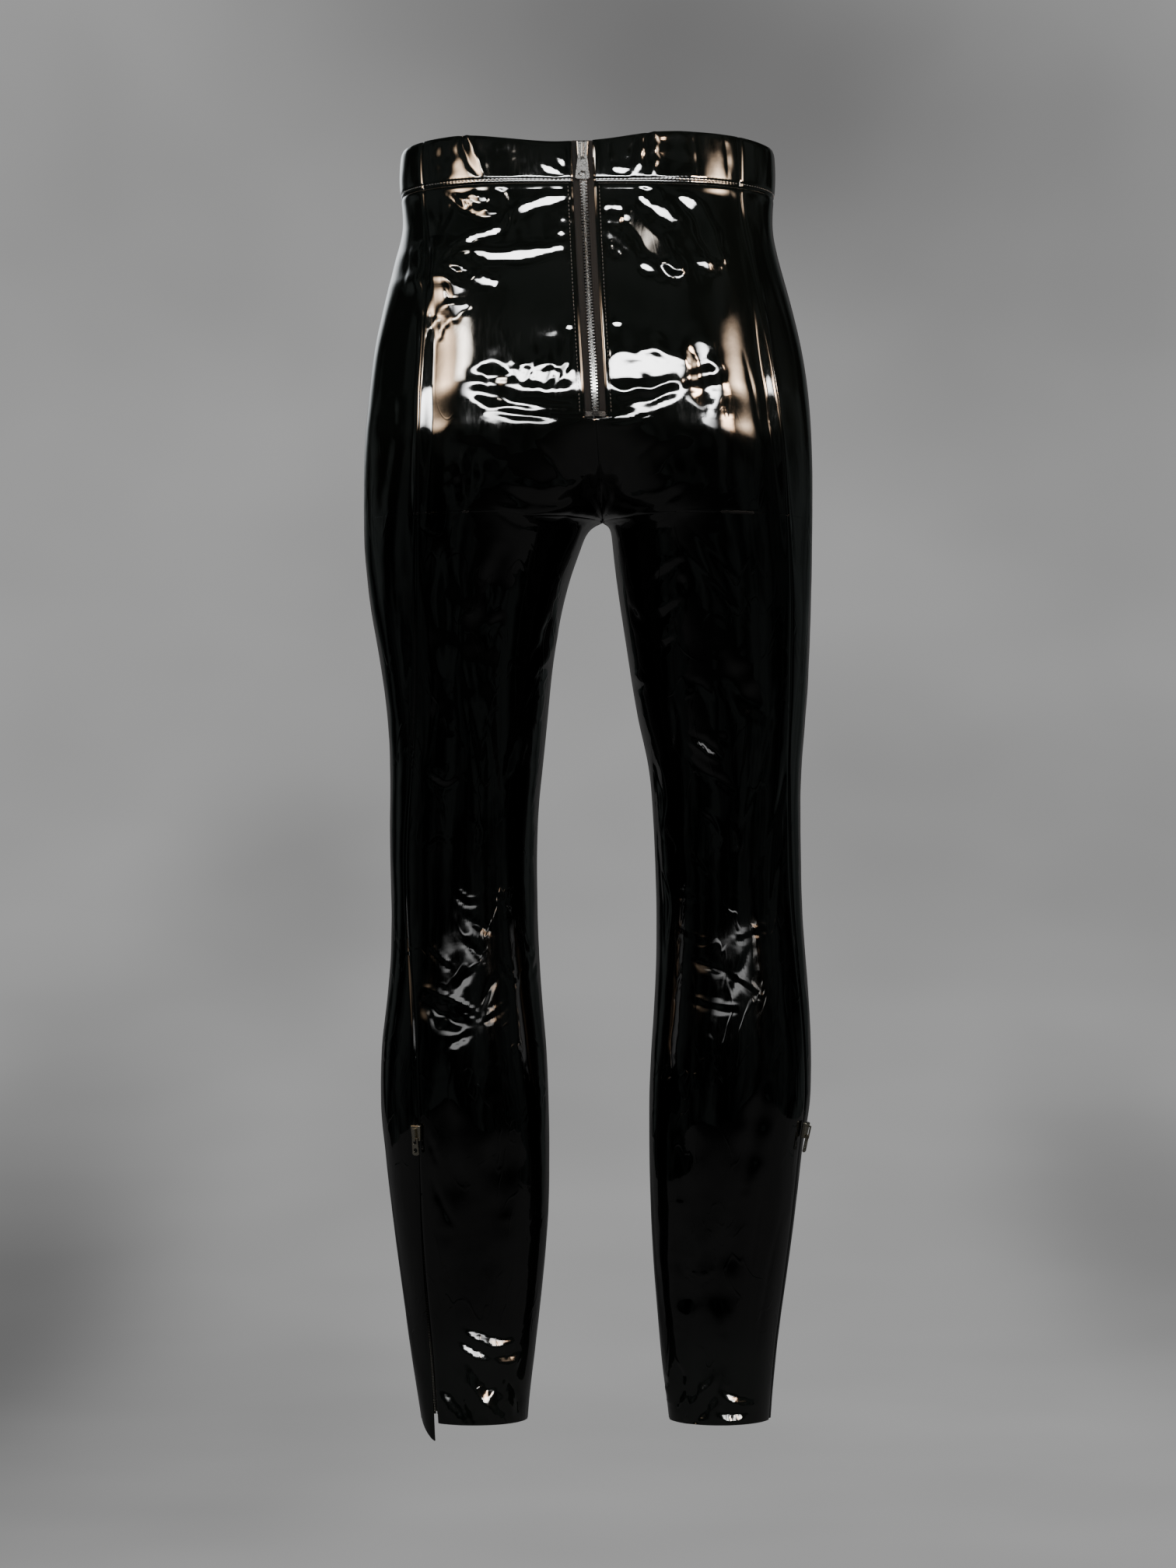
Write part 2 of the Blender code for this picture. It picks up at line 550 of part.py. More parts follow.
# Ankle zips, opened: a tape inside each edge of the vent, and the slider at the top
for side in ("left", "right"):
    for edge, sign in (("back", -1), ("front", 1)):
        grid = []
        for z in np.linspace(VENT_TOP_Z + 4, HEM_Z + 5, 14):
            seam = section(side, z)[3]
            vent = VENT_HALF * min(1, max(0, (VENT_TOP_Z - z) / (VENT_TOP_Z - HEM_Z)))
            row = []
            for away in (0.2 + 0.3 * vent, 4 + vent, 8.5 + vent):
                point, normal = surface(side, z, seam + sign * away)
                row.append((point - normal * (LEATHER + TAPE_UNDER), normal))
            grid.append(row)
        shell(f"ankle_zip_tape_{edge}_{side}", grid, TAPE_WALL, webbing)
    seam = section(side, ANKLE_SLIDER_Z)[3]
    place = zip_place(side, ANKLE_SLIDER_Z, seam) @ Matrix.Translation((0, -0.6 * MM, 0))
    zip_slider(f"ankle_zip_slider_{side}", place, 0.9, pale_metal)
    hinge = place @ Matrix.Translation((0, -HINGE_OUT * 0.9 * MM, -HINGE_DOWN * 0.9 * MM))
    zip_pull(f"ankle_zip_pull_{side}", hinge, 0.9, 2.6, 3.2, 14.0, pale_metal)
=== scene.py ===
import math

import bmesh
import bpy
import numpy as np
from mathutils import Matrix, Vector, noise


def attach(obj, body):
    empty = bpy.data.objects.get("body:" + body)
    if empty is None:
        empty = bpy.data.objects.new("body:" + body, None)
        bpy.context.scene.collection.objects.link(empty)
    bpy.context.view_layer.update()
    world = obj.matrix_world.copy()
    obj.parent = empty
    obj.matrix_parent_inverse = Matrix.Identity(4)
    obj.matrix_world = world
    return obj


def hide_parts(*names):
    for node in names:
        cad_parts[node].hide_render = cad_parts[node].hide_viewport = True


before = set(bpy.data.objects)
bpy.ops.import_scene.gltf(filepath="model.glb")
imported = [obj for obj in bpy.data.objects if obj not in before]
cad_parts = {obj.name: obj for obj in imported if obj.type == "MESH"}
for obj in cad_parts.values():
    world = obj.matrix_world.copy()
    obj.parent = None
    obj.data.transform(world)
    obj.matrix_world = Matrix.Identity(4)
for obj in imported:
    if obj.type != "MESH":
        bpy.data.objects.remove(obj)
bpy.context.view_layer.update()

# --- Leg panels -------------------------------------------------------------------------------
# The legs are four long panels of black patent leather: a woven backing under a glossy coat.
# They are sewn edge to edge down the centre back, the centre front, the inside legs and the side
# seams, which lie toward the back, and they keep the round form of the legs that fill them.
MM = 0.001
CROTCH_Z = -280.0
CROTCH_Y = 5.0
SEAT_RISE = 95.0
FLY_RISE = 72.0
HEM_Z = -962.0
BAND_HEIGHT = 35.0
SEAM_GAP = 0.04
LEATHER = 1.2
ZIP_OPENING = 7.7
ZIP_END_Z = -210.5
VENT_TOP_Z = -752.0
VENT_HALF = 2.2
TIP_DROP = 14.0
DENSE = 150
POINT_STEP = 0.7
SEAT_ROUND = 7.5         # how far the seat's sides are rounded in, in millimetres
SEAT_TUCK = 2.3          # and the leather under them
WAIST_HOLLOW = 1.6

BODY = np.array([
    # z     l_out   l_in   r_in   r_out  y_back y_front l_rear r_rear l_fore r_fore
    [10, -142, -4.8, -4.8, 142, -91, 90, -24, 15.8, -24, 15.8],
    [0, -142.5, -4.6, -4.6, 142.5, -92, 91, -25.3, 17.5, -25.3, 17.5],
    [-35, -143.5, -3.4, -3.4, 142.5, -94, 95, -38, 34, -25.8, 19.9],
    [-55, -140.3, -2.6, -2.6, 140.4, -96.5, 97, -46, 42, -26, 21.7],
    [-80, -147, -1.4, -1.4, 145, -103, 101, -57, 53, -27.6, 25],
    [-113, -155, 0.2, 0.2, 154, -112.5, 104, -66, 64, -32.4, 32.5],
    [-150, -163, 2.3, 2.3, 162.8, -121, 104, -70.4, 72.9, -42.3, 45.6],
    [-185, -167, 4.4, 4.4, 168, -125.5, 102, -76.2, 81.3, -52.2, 58.4],
    [-220, -170, 6.2, 6.2, 170.2, -125, 99, -78.4, 84.9, -64.3, 71.8],
    [-255, -171, 9, 9, 171, -116, 95, -79.2, 88.4, -74, 83.5],
    [-280, -170.8, 11, 11, 171, -107, 91, -81.5, 90.8, -80.5, 89.6],
    [-282.5, -170.8, 6.3, 14.6, 171, -106, 91, -82, 91.2, -81.2, 90.2],
    [-286, -170.7, 1.8, 17, 171, -105, 90, -82.8, 91.7, -82.2, 91],
    [-292, -170.5, -2.6, 18.4, 171, -103, 89, -84.2, 92.6, -84, 92.2],
    [-309, -170, -8.4, 19.8, 171, -98, 87, -88.2, 95, -88.2, 95],
    [-327, -168.2, -14.6, 22, 170.6, -94, 85, -91.4, 96.3, -91.4, 96.3],
    [-345, -166.5, -18.8, 24.4, 170.2, -90, 83, -92.6, 97.3, -92.6, 97.3],
    [-362, -163.6, -22.2, 26.8, 169.8, -86, 82, -92.9, 98.3, -92.9, 98.3],
    [-398, -157.6, -27.2, 32.2, 168.6, -78, 79, -92.4, 100.4, -92.4, 100.4],
    [-434, -153.4, -30.6, 38.4, 166.4, -71, 76, -92, 102.4, -92, 102.4],
    [-469, -151.4, -34.2, 46.4, 163.8, -65, 73, -92.8, 105.1, -92.8, 105.1],
    [-505, -151.6, -37.6, 49.4, 162.8, -60, 70, -94.6, 106.1, -94.6, 106.1],
    [-541, -151.4, -38.5, 51, 162.9, -58, 66, -95, 107, -95, 107],
    [-576, -150.6, -38, 51.6, 164.2, -58.5, 62, -94.3, 107.9, -94.3, 107.9],
    [-612, -151, -36.4, 51.4, 167, -60.6, 57, -93.7, 109.2, -93.7, 109.2],
    [-647, -154.4, -34, 49.8, 169.4, -63, 52, -94.2, 109.6, -94.2, 109.6],
    [-683, -158.4, -30.8, 47.2, 170.4, -65.4, 47, -94.6, 108.8, -94.6, 108.8],
    [-719, -158.6, -29.2, 45.8, 169.8, -66.4, 44, -93.9, 107.8, -93.9, 107.8],
    [-754, -155.4, -28.4, 45.8, 163.6, -64, 41, -91.9, 104.7, -91.9, 104.7],
    [-790, -151.9, -28.6, 46.4, 160, -59, 38, -90.2, 103.2, -90.2, 103.2],
    [-843, -145.4, -32, 48.8, 153.8, -54, 36, -88.7, 101.3, -88.7, 101.3],
    [-879, -140.3, -35.6, 51.6, 148.6, -52, 35, -88, 100.1, -88, 100.1],
    [-915, -135.2, -39.8, 54.8, 144.4, -50, 34, -87.5, 99.6, -87.5, 99.6],
    [-950, -129.6, -44, 59.4, 140.8, -50, 35, -86.8, 100.1, -86.8, 100.1],
    [-980, -125, -46, 63, 138.8, -50, 36, -85.5, 100.9, -85.5, 100.9],
])
SIDE_SEAMS = np.array([
    # z   left  right
    [10, -125, 113], [-40, -124, 114], [-85, -119, 122], [-135, -122, 132], [-170, -125, 139],
    [-220, -127, 147], [-290, -128, 151], [-345, -128, 153], [-398, -129, 153],
    [-469, -134, 152], [-541, -138.5, 153], [-612, -135, 158], [-660, -130.5, 163],
    [-719, -128.5, 165], [-754, -127, 160], [-790, -126.5, 157], [-843, -124, 151],
    [-915, -118, 142], [-980, -114, 137],
])
COLUMNS = dict(left=(1, 2, 7, 9), right=(4, 3, 8, 10))
heights = np.arange(-985.0, 12.1, 1.0)


def eased(table, column, spread):
    """A column of a table at every millimetre of height, with no corner at the table's rows."""
    at, value = table[::-1, 0], table[::-1, column]
    step, slope = np.diff(at), np.diff(value) / np.diff(at)
    same = slope[:-1] * slope[1:] > 0
    tangent = np.concatenate([[slope[0]], np.zeros(len(at) - 2), [slope[-1]]])
    w1, w2 = (2 * step[1:] + step[:-1])[same], (step[1:] + 2 * step[:-1])[same]
    tangent[1:-1][same] = (w1 + w2) / (w1 / slope[:-1][same] + w2 / slope[1:][same])
    i = np.clip(np.searchsorted(at, heights, side="right") - 1, 0, len(step) - 1)
    t = (np.clip(heights, at[0], at[-1]) - at[i]) / step[i]
    plain = (value[i] * (1 + 2 * t) * (1 - t) ** 2 + value[i + 1] * t * t * (3 - 2 * t)
             + step[i] * (tangent[i] * t * (1 - t) ** 2 - tangent[i + 1] * t * t * (1 - t)))
    reach = np.arange(-3 * spread, 3 * spread + 1)
    kernel = np.exp(-(reach / spread) ** 2 / 2)
    padded = np.pad(plain, 3 * spread, mode="reflect", reflect_type="odd")
    return plain, np.convolve(padded, kernel / kernel.sum(), mode="valid")


body_lines = np.stack([eased(BODY, c, 10)[1] for c in range(11)], 1)
for column in (2, 3):
    plain, soft = eased(BODY, column, 10)
    near_crotch = np.exp(-((heights - CROTCH_Z) / 22) ** 2)
    body_lines[:, column] = soft + (plain - soft) * near_crotch
seam_lines = np.stack([eased(SIDE_SEAMS, c, 12)[1] for c in range(3)], 1)


def line_at(lines, column, z):
    return float(np.interp(z, heights, lines[:, column]))


def ease(t):
    t = np.clip(t, 0, 1)
    return t * t * (3 - 2 * t)


def inner_ends(z):
    """y where a half's section starts at the back and ends at the front."""
    if z <= CROTCH_Z:
        y = CROTCH_Y + 4 * math.sin(min(1, (CROTCH_Z - z) / 240) * math.pi / 2)
        y -= 22 * float(ease((-540 - z) / 240))
        return y, y
    back_part = min(1, (z - CROTCH_Z) / SEAT_RISE)
    front_part = min(1, (z - CROTCH_Z) / FLY_RISE)
    cleft = 4.0 * math.exp(-((z + 185) / 62) ** 2)
    back = line_at(body_lines, 5, z) + cleft
    front = line_at(body_lines, 6, z)
    return (CROTCH_Y + (back - CROTCH_Y) * math.sqrt(1 - (1 - back_part) ** 2),
            CROTCH_Y + (front - CROTCH_Y) * math.sqrt(1 - (1 - front_part) ** 2))


def section(side, z):
    """Half a level section: even points from the inner back end round to the front."""
    x_out, x_in, x_back, x_front = [line_at(body_lines, c, z) for c in COLUMNS[side]]
    y_back, y_front = line_at(body_lines, 5, z), line_at(body_lines, 6, z)
    y_out = 0.5 * (y_back + y_front) * float(ease((-170 - z) / 120))
    end_back, end_front = inner_ends(z)
    leg = float(ease((-205 - z) / 75))
    t = np.linspace(0, 1, DENSE + 1)
    round_x, round_y = 1 - np.cos(t * math.pi / 2), np.sin(t * math.pi / 2)
    flat_y = (1 - np.cos(t * math.pi)) / 2
    along_x, along_y = t + (round_x - t) * leg, flat_y + (round_y - flat_y) * leg
    quarter = np.linspace(0, math.pi / 2, DENSE + 1)
    bulge = 2 / (2.0 + 0.2 * (1 - leg))
    cos_q, sin_q = np.cos(quarter).clip(0) ** bulge, np.sin(quarter) ** bulge
    x = np.concatenate([
        x_in + (x_back - x_in) * along_x, x_back + (x_out - x_back) * sin_q[1:],
        x_front + (x_out - x_front) * cos_q[1:], (x_in + (x_front - x_in) * along_x)[::-1][1:]])
    y = np.concatenate([
        end_back + (y_back - end_back) * along_y, y_out + (y_back - y_out) * cos_q[1:],
        y_out + (y_front - y_out) * sin_q[1:],
        (end_front + (y_front - end_front) * along_y)[::-1][1:]])
    distance = np.concatenate([[0], np.cumsum(np.hypot(np.diff(x), np.diff(y)))])
    even = np.linspace(0, distance[-1], int(distance[-1] / POINT_STEP) + 1)
    x, y = np.interp(even, distance, x), np.interp(even, distance, y)
    # Corners between the arcs are eased away, as leather under tension has none.
    n, ring = 36, z <= CROTCH_Z
    if ring:
        px = np.concatenate([x[-n - 1:-1], x, x[1:n + 1]])
        py = np.concatenate([y[-n - 1:-1], y, y[1:n + 1]])
    else:
        px = np.concatenate([2 * x_in - x[n:0:-1], x, 2 * x_in - x[-2:-n - 2:-1]])
        py = np.concatenate([y[n:0:-1], y, y[-2:-n - 2:-1]])
    kernel = np.exp(-(np.arange(-n, n + 1) / 12.0) ** 2 / 2)
    kernel /= kernel.sum()
    sx, sy = np.convolve(px, kernel, mode="valid"), np.convolve(py, kernel, mode="valid")
    away = np.sqrt((x - x_in) ** 2 + (y - CROTCH_Y) ** 2 + (z - CROTCH_Z) ** 2)
    share = 1 - np.exp(-(away / 40) ** 2)
    x, y = x + (sx - x) * share, y + (sy - y) * share
    sign = -1 if side == "left" else 1
    if not ring:
        x = sign * np.maximum(sign * x, sign * x_in + SEAM_GAP / 2)
    distance = np.concatenate([[0], np.cumsum(np.hypot(np.diff(x), np.diff(y)))])
    back_half = slice(int(len(x) * 0.08), int(np.argmax(x * sign)) + 1)
    seam_x = line_at(seam_lines, 1 if side == "left" else 2, z)
    seam = float(np.interp(seam_x * sign, x[back_half] * sign, distance[back_half]))
    return x, y, distance, seam


def surface(side, z_rows, distances):
    """Points and outward normals at the given heights and distances along their sections."""
    points, normals = [], []
    outward = -1.0 if side == "left" else 1.0
    for z, s in zip(z_rows, distances):
        x, y, distance, _ = section(side, z)
        low, high = (CROTCH_Z + 1e-3, 99) if z > CROTCH_Z else (-999, CROTCH_Z - 1e-3)
        part = np.abs(s) / distance[-1]
        layers = []
        for other in (max(z - 1, low), min(z + 1, high)):
            ox, oy, od, _ = section(side, other)
            layers.append(np.stack([np.interp(part * od[-1], od, ox),
                                    np.interp(part * od[-1], od, oy),
                                    np.full(len(s), other)], 1))
        up = layers[1] - layers[0]
        here = np.stack([np.interp(np.abs(s), distance, x), np.interp(np.abs(s), distance, y),
                         np.full(len(s), z)], 1)
        ahead, behind = np.minimum(np.abs(s) + 2, distance[-1]), np.maximum(np.abs(s) - 2, 0)
        along = np.stack([np.interp(ahead, distance, x) - np.interp(behind, distance, x),
                          np.interp(ahead, distance, y) - np.interp(behind, distance, y),
                          np.zeros(len(s))], 1)
        ends = (np.abs(s) < 1.0) | (np.abs(s) > distance[-1] - 1.0)
        if z > CROTCH_Z:
            along[ends] = np.where((part[ends] < 0.5)[:, None], [outward, 0, 0], [-outward, 0, 0])
        else:
            along[ends] = [0, -1, 0]
            along[ends & (part > 0.5)] = [0, -1, 0]
        normal = np.cross(along, up) * outward
        if z <= CROTCH_Z:
            normal[ends] = np.cross(along, up)[ends] * outward
        normal /= np.linalg.norm(normal, axis=1)[:, None]
        if abs(z - CROTCH_Z) < 1.5:
            normal[ends] = [0, 0, -1]
        points.append(here)
        normals.append(normal)
    return np.array(points), np.array(normals)


# Folds in the leather, in millimetres. A lip is a flank pulled straight up against the slope of
# the leather around it, so it catches the light. A pinch is a sharp crease, and a swell a broad
# soft trough.
LIP, PINCH, SWELL = range(3)
BACK_FOLDS = [
    # kind, width, slope, the line's points (x, z)
    # the long drag line from the zip to the left hip, with the flat below its left end
    (LIP, 3.6, 0.34, (-103, -93), (-95, -88.5), (-70, -91), (-44, -89.5), (-12, -83)),
    (LIP, 4.0, 0.30, (-104, -100), (-92, -105), (-80, -109), (-64, -113)),
    (LIP, 4.0, 0.24, (-103, -97), (-88, -98), (-76, -100)),
    (PINCH, 1.9, 0.40, (-105.5, -106), (-104, -116), (-100.5, -129)),
    (SWELL, 17.0, -0.30, (-109, -70), (-112, -104), (-116, -136)),
    # the drag line above it and the hook under the band
    (LIP, 3.4, 0.34, (-57, -67), (-49.5, -56), (-38, -51), (-29, -48.5), (-10, -45)),
    (LIP, 2.8, 0.40, (-103, -41), (-95, -48), (-84, -55), (-72, -58.5), (-64, -58)),
    (PINCH, 2.4, 0.42, (-64, -57), (-60, -51), (-64, -42), (-72, -38)),
    (LIP, 2.8, 0.36, (-101, -88), (-87, -77), (-72, -73), (-64, -69), (-58, -58)),
    (LIP, 3.4, 0.30, (-92, -44), (-82, -48), (-74, -46)),
    # puckers beside the zip
    (LIP, 3.2, 0.44, (-18, -56), (-7, -54.5)),
    (LIP, 3.6, 0.44, (-21, -65), (-14, -63.5), (-9, -64)),
    (LIP, 2.8, 0.36, (-24, -75), (-12, -71)),
    (LIP, 2.4, 0.32, (-14, -97), (-9, -95)),
    (LIP, 2.6, 0.40, (-17, -145), (-9, -145)),
    (PINCH, 1.6, 0.30, (-14, -110), (-13, -140), (-14.5, -178), (-20, -192)),
    (LIP, 3.4, 0.42, (11, -52), (17, -55), (26, -54)),
    (LIP, 3.4, 0.42, (11, -62), (20, -64), (27, -62)),
    (LIP, 4.0, 0.46, (9, -70), (17, -77), (28, -88)),
    (LIP, 2.4, 0.40, (12, -82), (19, -87), (26, -91)),
    (LIP, 2.4, 0.34, (17, -142), (26, -143)),
    # the fan on the right
    (LIP, 5.4, 0.40, (27, -54), (38, -68), (48, -82), (59, -96), (68, -108)),
    (LIP, 4.0, 0.34, (36, -97.5), (50, -100), (62, -104), (70, -107)),
    (LIP, 3.8, 0.42, (36, -44), (46, -50), (54, -56), (67, -67)),
    (LIP, 2.8, 0.36, (40, -37), (47, -41), (56, -49)),
    (LIP, 4.0, 0.36, (64, -43), (80, -53), (88, -72), (94, -87), (100, -99)),
    (LIP, 3.2, 0.32, (79, -93), (88, -97), (99, -100)),
    (PINCH, 2.2, 0.30, (77, -98), (81, -105), (85, -116)),
    (SWELL, 9.0, 0.16, (58, -70), (72, -84), (84, -108)),
    (SWELL, 9.0, 0.16, (-60, -78), (-40, -74), (-18, -72)),
    # left hip
    (LIP, 3.6, 0.34, (-114, -146), (-107, -134), (-97, -130), (-86, -127)),
    (LIP, 3.2, 0.24, (-116, -152), (-113, -140)),
    (SWELL, 7.0, 0.14, (-110, -96), (-112, -120), (-118, -136)),
    (SWELL, 8.0, 0.12, (-140, -60), (-146, -110), (-154, -160)),
    (PINCH, 2.0, 0.22, (-132, -64), (-138, -104), (-143, -128)),
    (PINCH, 2.0, 0.20, (-128, -90), (-140, -140), (-150, -176)),
    (PINCH, 2.0, 0.30, (-122, -40), (-117, -52), (-111, -64)),
    (PINCH, 2.0, 0.28, (-97, -40), (-104, -56), (-110, -72)),
    (PINCH, 1.8, 0.24, (-150, -190), (-152, -206), (-150, -222)),
    (PINCH, 1.8, 0.20, (-158, -196), (-160, -216)),
    # seat, left: short cracks across the light
    (LIP, 6.0, 0.06, (-52, -180), (-32, -180), (-8, -181)),
    (SWELL, 9.0, 0.30, (-68, -168), (-70, -182), (-72, -206)),
    (PINCH, 1.7, 0.34, (-57, -167), (-56, -176), (-53, -184)),
    (PINCH, 1.8, 0.42, (-47, -186), (-42, -178), (-37, -166)),
    (PINCH, 1.7, 0.36, (-41, -189), (-39, -181), (-37, -174)),
    (LIP, 2.2, 0.26, (-52, -172), (-44, -174), (-36, -171)),
    (LIP, 2.2, 0.26, (-34, -178), (-26, -176), (-18, -180)),
    (PINCH, 1.8, 0.42, (-24, -189), (-19, -182), (-12, -170)),
    (PINCH, 1.8, 0.34, (-31, -187), (-27, -180), (-25, -172)),
    (LIP, 2.2, 0.28, (-30, -187), (-20, -189), (-10, -187)),
    (PINCH, 1.5, 0.26, (-80, -168), (-77, -178), (-71, -191)),
    (SWELL, 9.0, 0.12, (-46, -158), (-30, -156), (-12, -158)),
    # seat, right: fine cracks inside one broad light
    (LIP, 11.0, 0.06, (12, -176), (40, -175), (76, -177)),
    (SWELL, 8.0, 0.24, (80, -164), (84, -178), (86, -206)),
    (PINCH, 1.5, 0.08, (16, -174), (26, -176), (38, -172), (50, -176)),
    (PINCH, 1.5, 0.07, (22, -168), (36, -166), (48, -170), (60, -168)),
    (PINCH, 1.5, 0.08, (18, -182), (30, -180), (42, -184), (56, -180), (66, -183)),
    (PINCH, 1.4, 0.07, (44, -164), (54, -172), (64, -176)),
    (LIP, 2.0, 0.20, (34, -152), (42, -155), (50, -152), (57, -155)),
    (PINCH, 1.8, 0.26, (86, -214), (91, -200), (92, -192)),
    (PINCH, 1.8, 0.26, (100, -196), (103, -204), (104, -214)),
    (PINCH, 1.6, 0.14, (88, -154), (96, -168), (104, -186)),
    (PINCH, 1.6, 0.14, (84, -162), (92, -178), (98, -192)),
    (SWELL, 9.0, 0.14, (79, -150), (84, -172), (90, -196)),
    (PINCH, 2.0, 0.20, (118, -160), (128, -196), (134, -226)),
    (PINCH, 2.0, 0.18, (124, -120), (134, -168), (140, -210)),
    # the crease under the seat, double on the left
    (SWELL, 4.2, 0.32, (-84, -196), (-56, -200), (-30, -203), (-5, -203.5)),
    (SWELL, 3.2, 0.32, (-74, -206), (-40, -210.5), (-5, -211)),
    (LIP, 2.0, 0.46, (11, -211.5), (26, -210), (40, -206.5), (60, -199.5), (74, -190)),
    (LIP, 1.4, 0.38, (14, -216), (32, -214), (50, -208)),
    (LIP, 2.6, 0.26, (44, -191), (56, -193), (68, -188)),
    (SWELL, 6.0, 0.20, (12, -202), (40, -198), (72, -186)),
    # under the seat and round the crotch
    (SWELL, 11.0, 0.18, (-112, -232), (-86, -236), (-58, -248)),
    (SWELL, 11.0, 0.14, (96, -230), (74, -236), (46, -246)),
    (LIP, 4.4, 0.27, (-60, -262), (-34, -268), (-8, -262), (2, -252)),
    (LIP, 3.8, 0.27, (-66, -278), (-44, -284), (-22, -280), (-6, -270)),
    (LIP, 4.0, 0.27, (8, -256), (26, -270), (46, -272), (68, -262)),
    (LIP, 3.6, 0.27, (20, -280), (38, -288), (60, -286)),
    (PINCH, 2.2, 0.28, (-40, -228), (-24, -244), (-14, -262)),
    (PINCH, 2.2, 0.28, (52, -226), (34, -242), (22, -260)),
    (SWELL, 5.0, 0.22, (-104, -246), (-100, -262), (-98, -276)),
    (SWELL, 5.0, 0.22, (-88, -240), (-86, -256), (-88, -270)),
    # left thigh
    (LIP, 3.2, 0.38, (-26, -352), (-30, -374), (-38, -388), (-45, -400)),
    (PINCH, 2.6, 0.42, (-44, -398), (-41, -412), (-49, -432), (-50, -448)),
    (LIP, 3.0, 0.34, (-50, -440), (-54, -458), (-60, -474)),
    (PINCH, 2.2, 0.40, (-63, -356), (-70, -362), (-74, -360)),
    (PINCH, 2.0, 0.34, (-74, -318), (-70, -340), (-74, -352)),
    (PINCH, 2.0, 0.34, (-134, -300), (-132, -332), (-130, -364)),
    (PINCH, 2.2, 0.36, (-138, -358), (-134, -380), (-136, -414)),
    (PINCH, 2.2, 0.32, (-122, -396), (-128, -420), (-132, -446), (-140, -506)),
    (PINCH, 2.0, 0.30, (-98, -386), (-90, -420), (-84, -460), (-80, -500)),
    (PINCH, 2.0, 0.30, (-80, -382), (-74, -430), (-68, -484), (-66, -530)),
    (PINCH, 1.9, 0.28, (-112, -402), (-116, -440), (-124, -486)),
    (SWELL, 7.0, 0.26, (-90, -352), (-84, -392), (-78, -440)),
    (SWELL, 7.0, 0.22, (-108, -300), (-104, -350), (-106, -404)),
    (SWELL, 8.0, 0.20, (-60, -300), (-76, -350), (-82, -392)),
    (LIP, 3.0, 0.30, (-120, -472), (-108, -480), (-98, -476)),
    (LIP, 3.0, 0.34, (-124, -530), (-112, -520), (-102, -528)),
    (LIP, 2.8, 0.32, (-88, -504), (-80, -516), (-84, -532)),
    # right thigh
    (LIP, 3.4, 0.36, (34, -346), (42, -356), (54, -352), (66, -344)),
    (LIP, 3.0, 0.34, (32, -338), (44, -330), (60, -318), (72, -312)),
    (PINCH, 2.2, 0.40, (66, -326), (70, -332), (72, -340)),
    (LIP, 3.0, 0.30, (40, -372), (52, -376), (64, -370)),
    (PINCH, 2.0, 0.28, (60, -292), (82, -320), (104, -344), (124, -364)),
    (PINCH, 2.0, 0.26, (76, -292), (98, -316), (120, -340)),
    (LIP, 3.0, 0.32, (30, -396), (40, -404), (48, -402)),
    (PINCH, 2.0, 0.36, (74, -402), (86, -408), (94, -418)),
    (PINCH, 2.0, 0.30, (62, -412), (66, -440), (64, -470)),
    (LIP, 2.6, 0.62, (78, -446), (88, -453), (99, -462)),
    (PINCH, 2.0, 0.40, (98, -444), (104, -450)),
    (PINCH, 2.0, 0.50, (76, -461), (88, -472), (100, -478), (113, -488)),
    (SWELL, 8.0, 0.22, (98, -380), (112, -410), (134, -430)),
    (LIP, 3.0, 0.34, (52, -462), (58, -490), (56, -514)),
    (LIP, 2.8, 0.38, (58, -514), (66, -528), (62, -540)),
    (LIP, 2.8, 0.34, (56, -544), (62, -570), (60, -600)),
    (PINCH, 2.0, 0.34, (50, -470), (54, -540), (58, -622)),
    (PINCH, 1.9, 0.34, (166, -344), (159, -412), (146, -529), (127, -604)),
    (PINCH, 1.9, 0.30, (160, -404), (150, -470), (136, -520), (120, -560)),
    (PINCH, 1.9, 0.28, (152, -440), (142, -520), (138, -590)),
    (PINCH, 1.9, 0.26, (140, -400), (134, -450), (120, -500), (104, -544)),
    (PINCH, 2.0, 0.34, (106, -510), (112, -520), (110, -532)),
    (LIP, 2.8, 0.34, (84, -500), (94, -508), (100, -522)),
    (LIP, 2.8, 0.32, (74, -530), (84, -540), (94, -552)),
    # behind the left knee
    (PINCH, 2.0, 0.46, (-91, -580), (-82, -586), (-71, -592)),
    (PINCH, 2.0, 0.44, (-94, -598), (-86, -604), (-77, -613)),
    (LIP, 2.8, 0.50, (-137, -631), (-120, -636), (-100, -644), (-76, -656)),
    (LIP, 4.2, 0.60, (-60, -645), (-52, -634), (-44, -622), (-36, -606)),
    (LIP, 2.8, 0.46, (-80, -658), (-70, -652), (-60, -645)),
    (PINCH, 2.0, 0.40, (-106, -677), (-96, -671), (-86, -666)),
    (LIP, 3.0, 0.36, (-54, -590), (-48, -600), (-40, -612)),
    (LIP, 3.0, 0.34, (-120, -600), (-110, -612), (-100, -618)),
    (LIP, 3.0, 0.34, (-76, -560), (-62, -566), (-52, -578)),
    (LIP, 3.4, 0.30, (-100, -560), (-90, -568), (-80, -566)),
    (LIP, 2.8, 0.34, (-66, -612), (-60, -624), (-50, -630)),
    (PINCH, 1.9, 0.34, (-84, -618), (-96, -630), (-100, -640)),
    (PINCH, 1.9, 0.32, (-64, -620), (-74, -634), (-80, -648)),
    (SWELL, 6.0, 0.30, (-124, -642), (-104, -656), (-90, -660)),
    # behind the right knee
    (PINCH, 2.0, 0.52, (77, -611), (88, -616), (104, -621)),
    (LIP, 2.8, 0.36, (66, -588), (80, -596), (94, -600)),
    (LIP, 3.0, 0.38, (74, -640), (92, -646), (112, -648)),
    (LIP, 2.8, 0.34, (60, -560), (74, -564), (88, -566)),
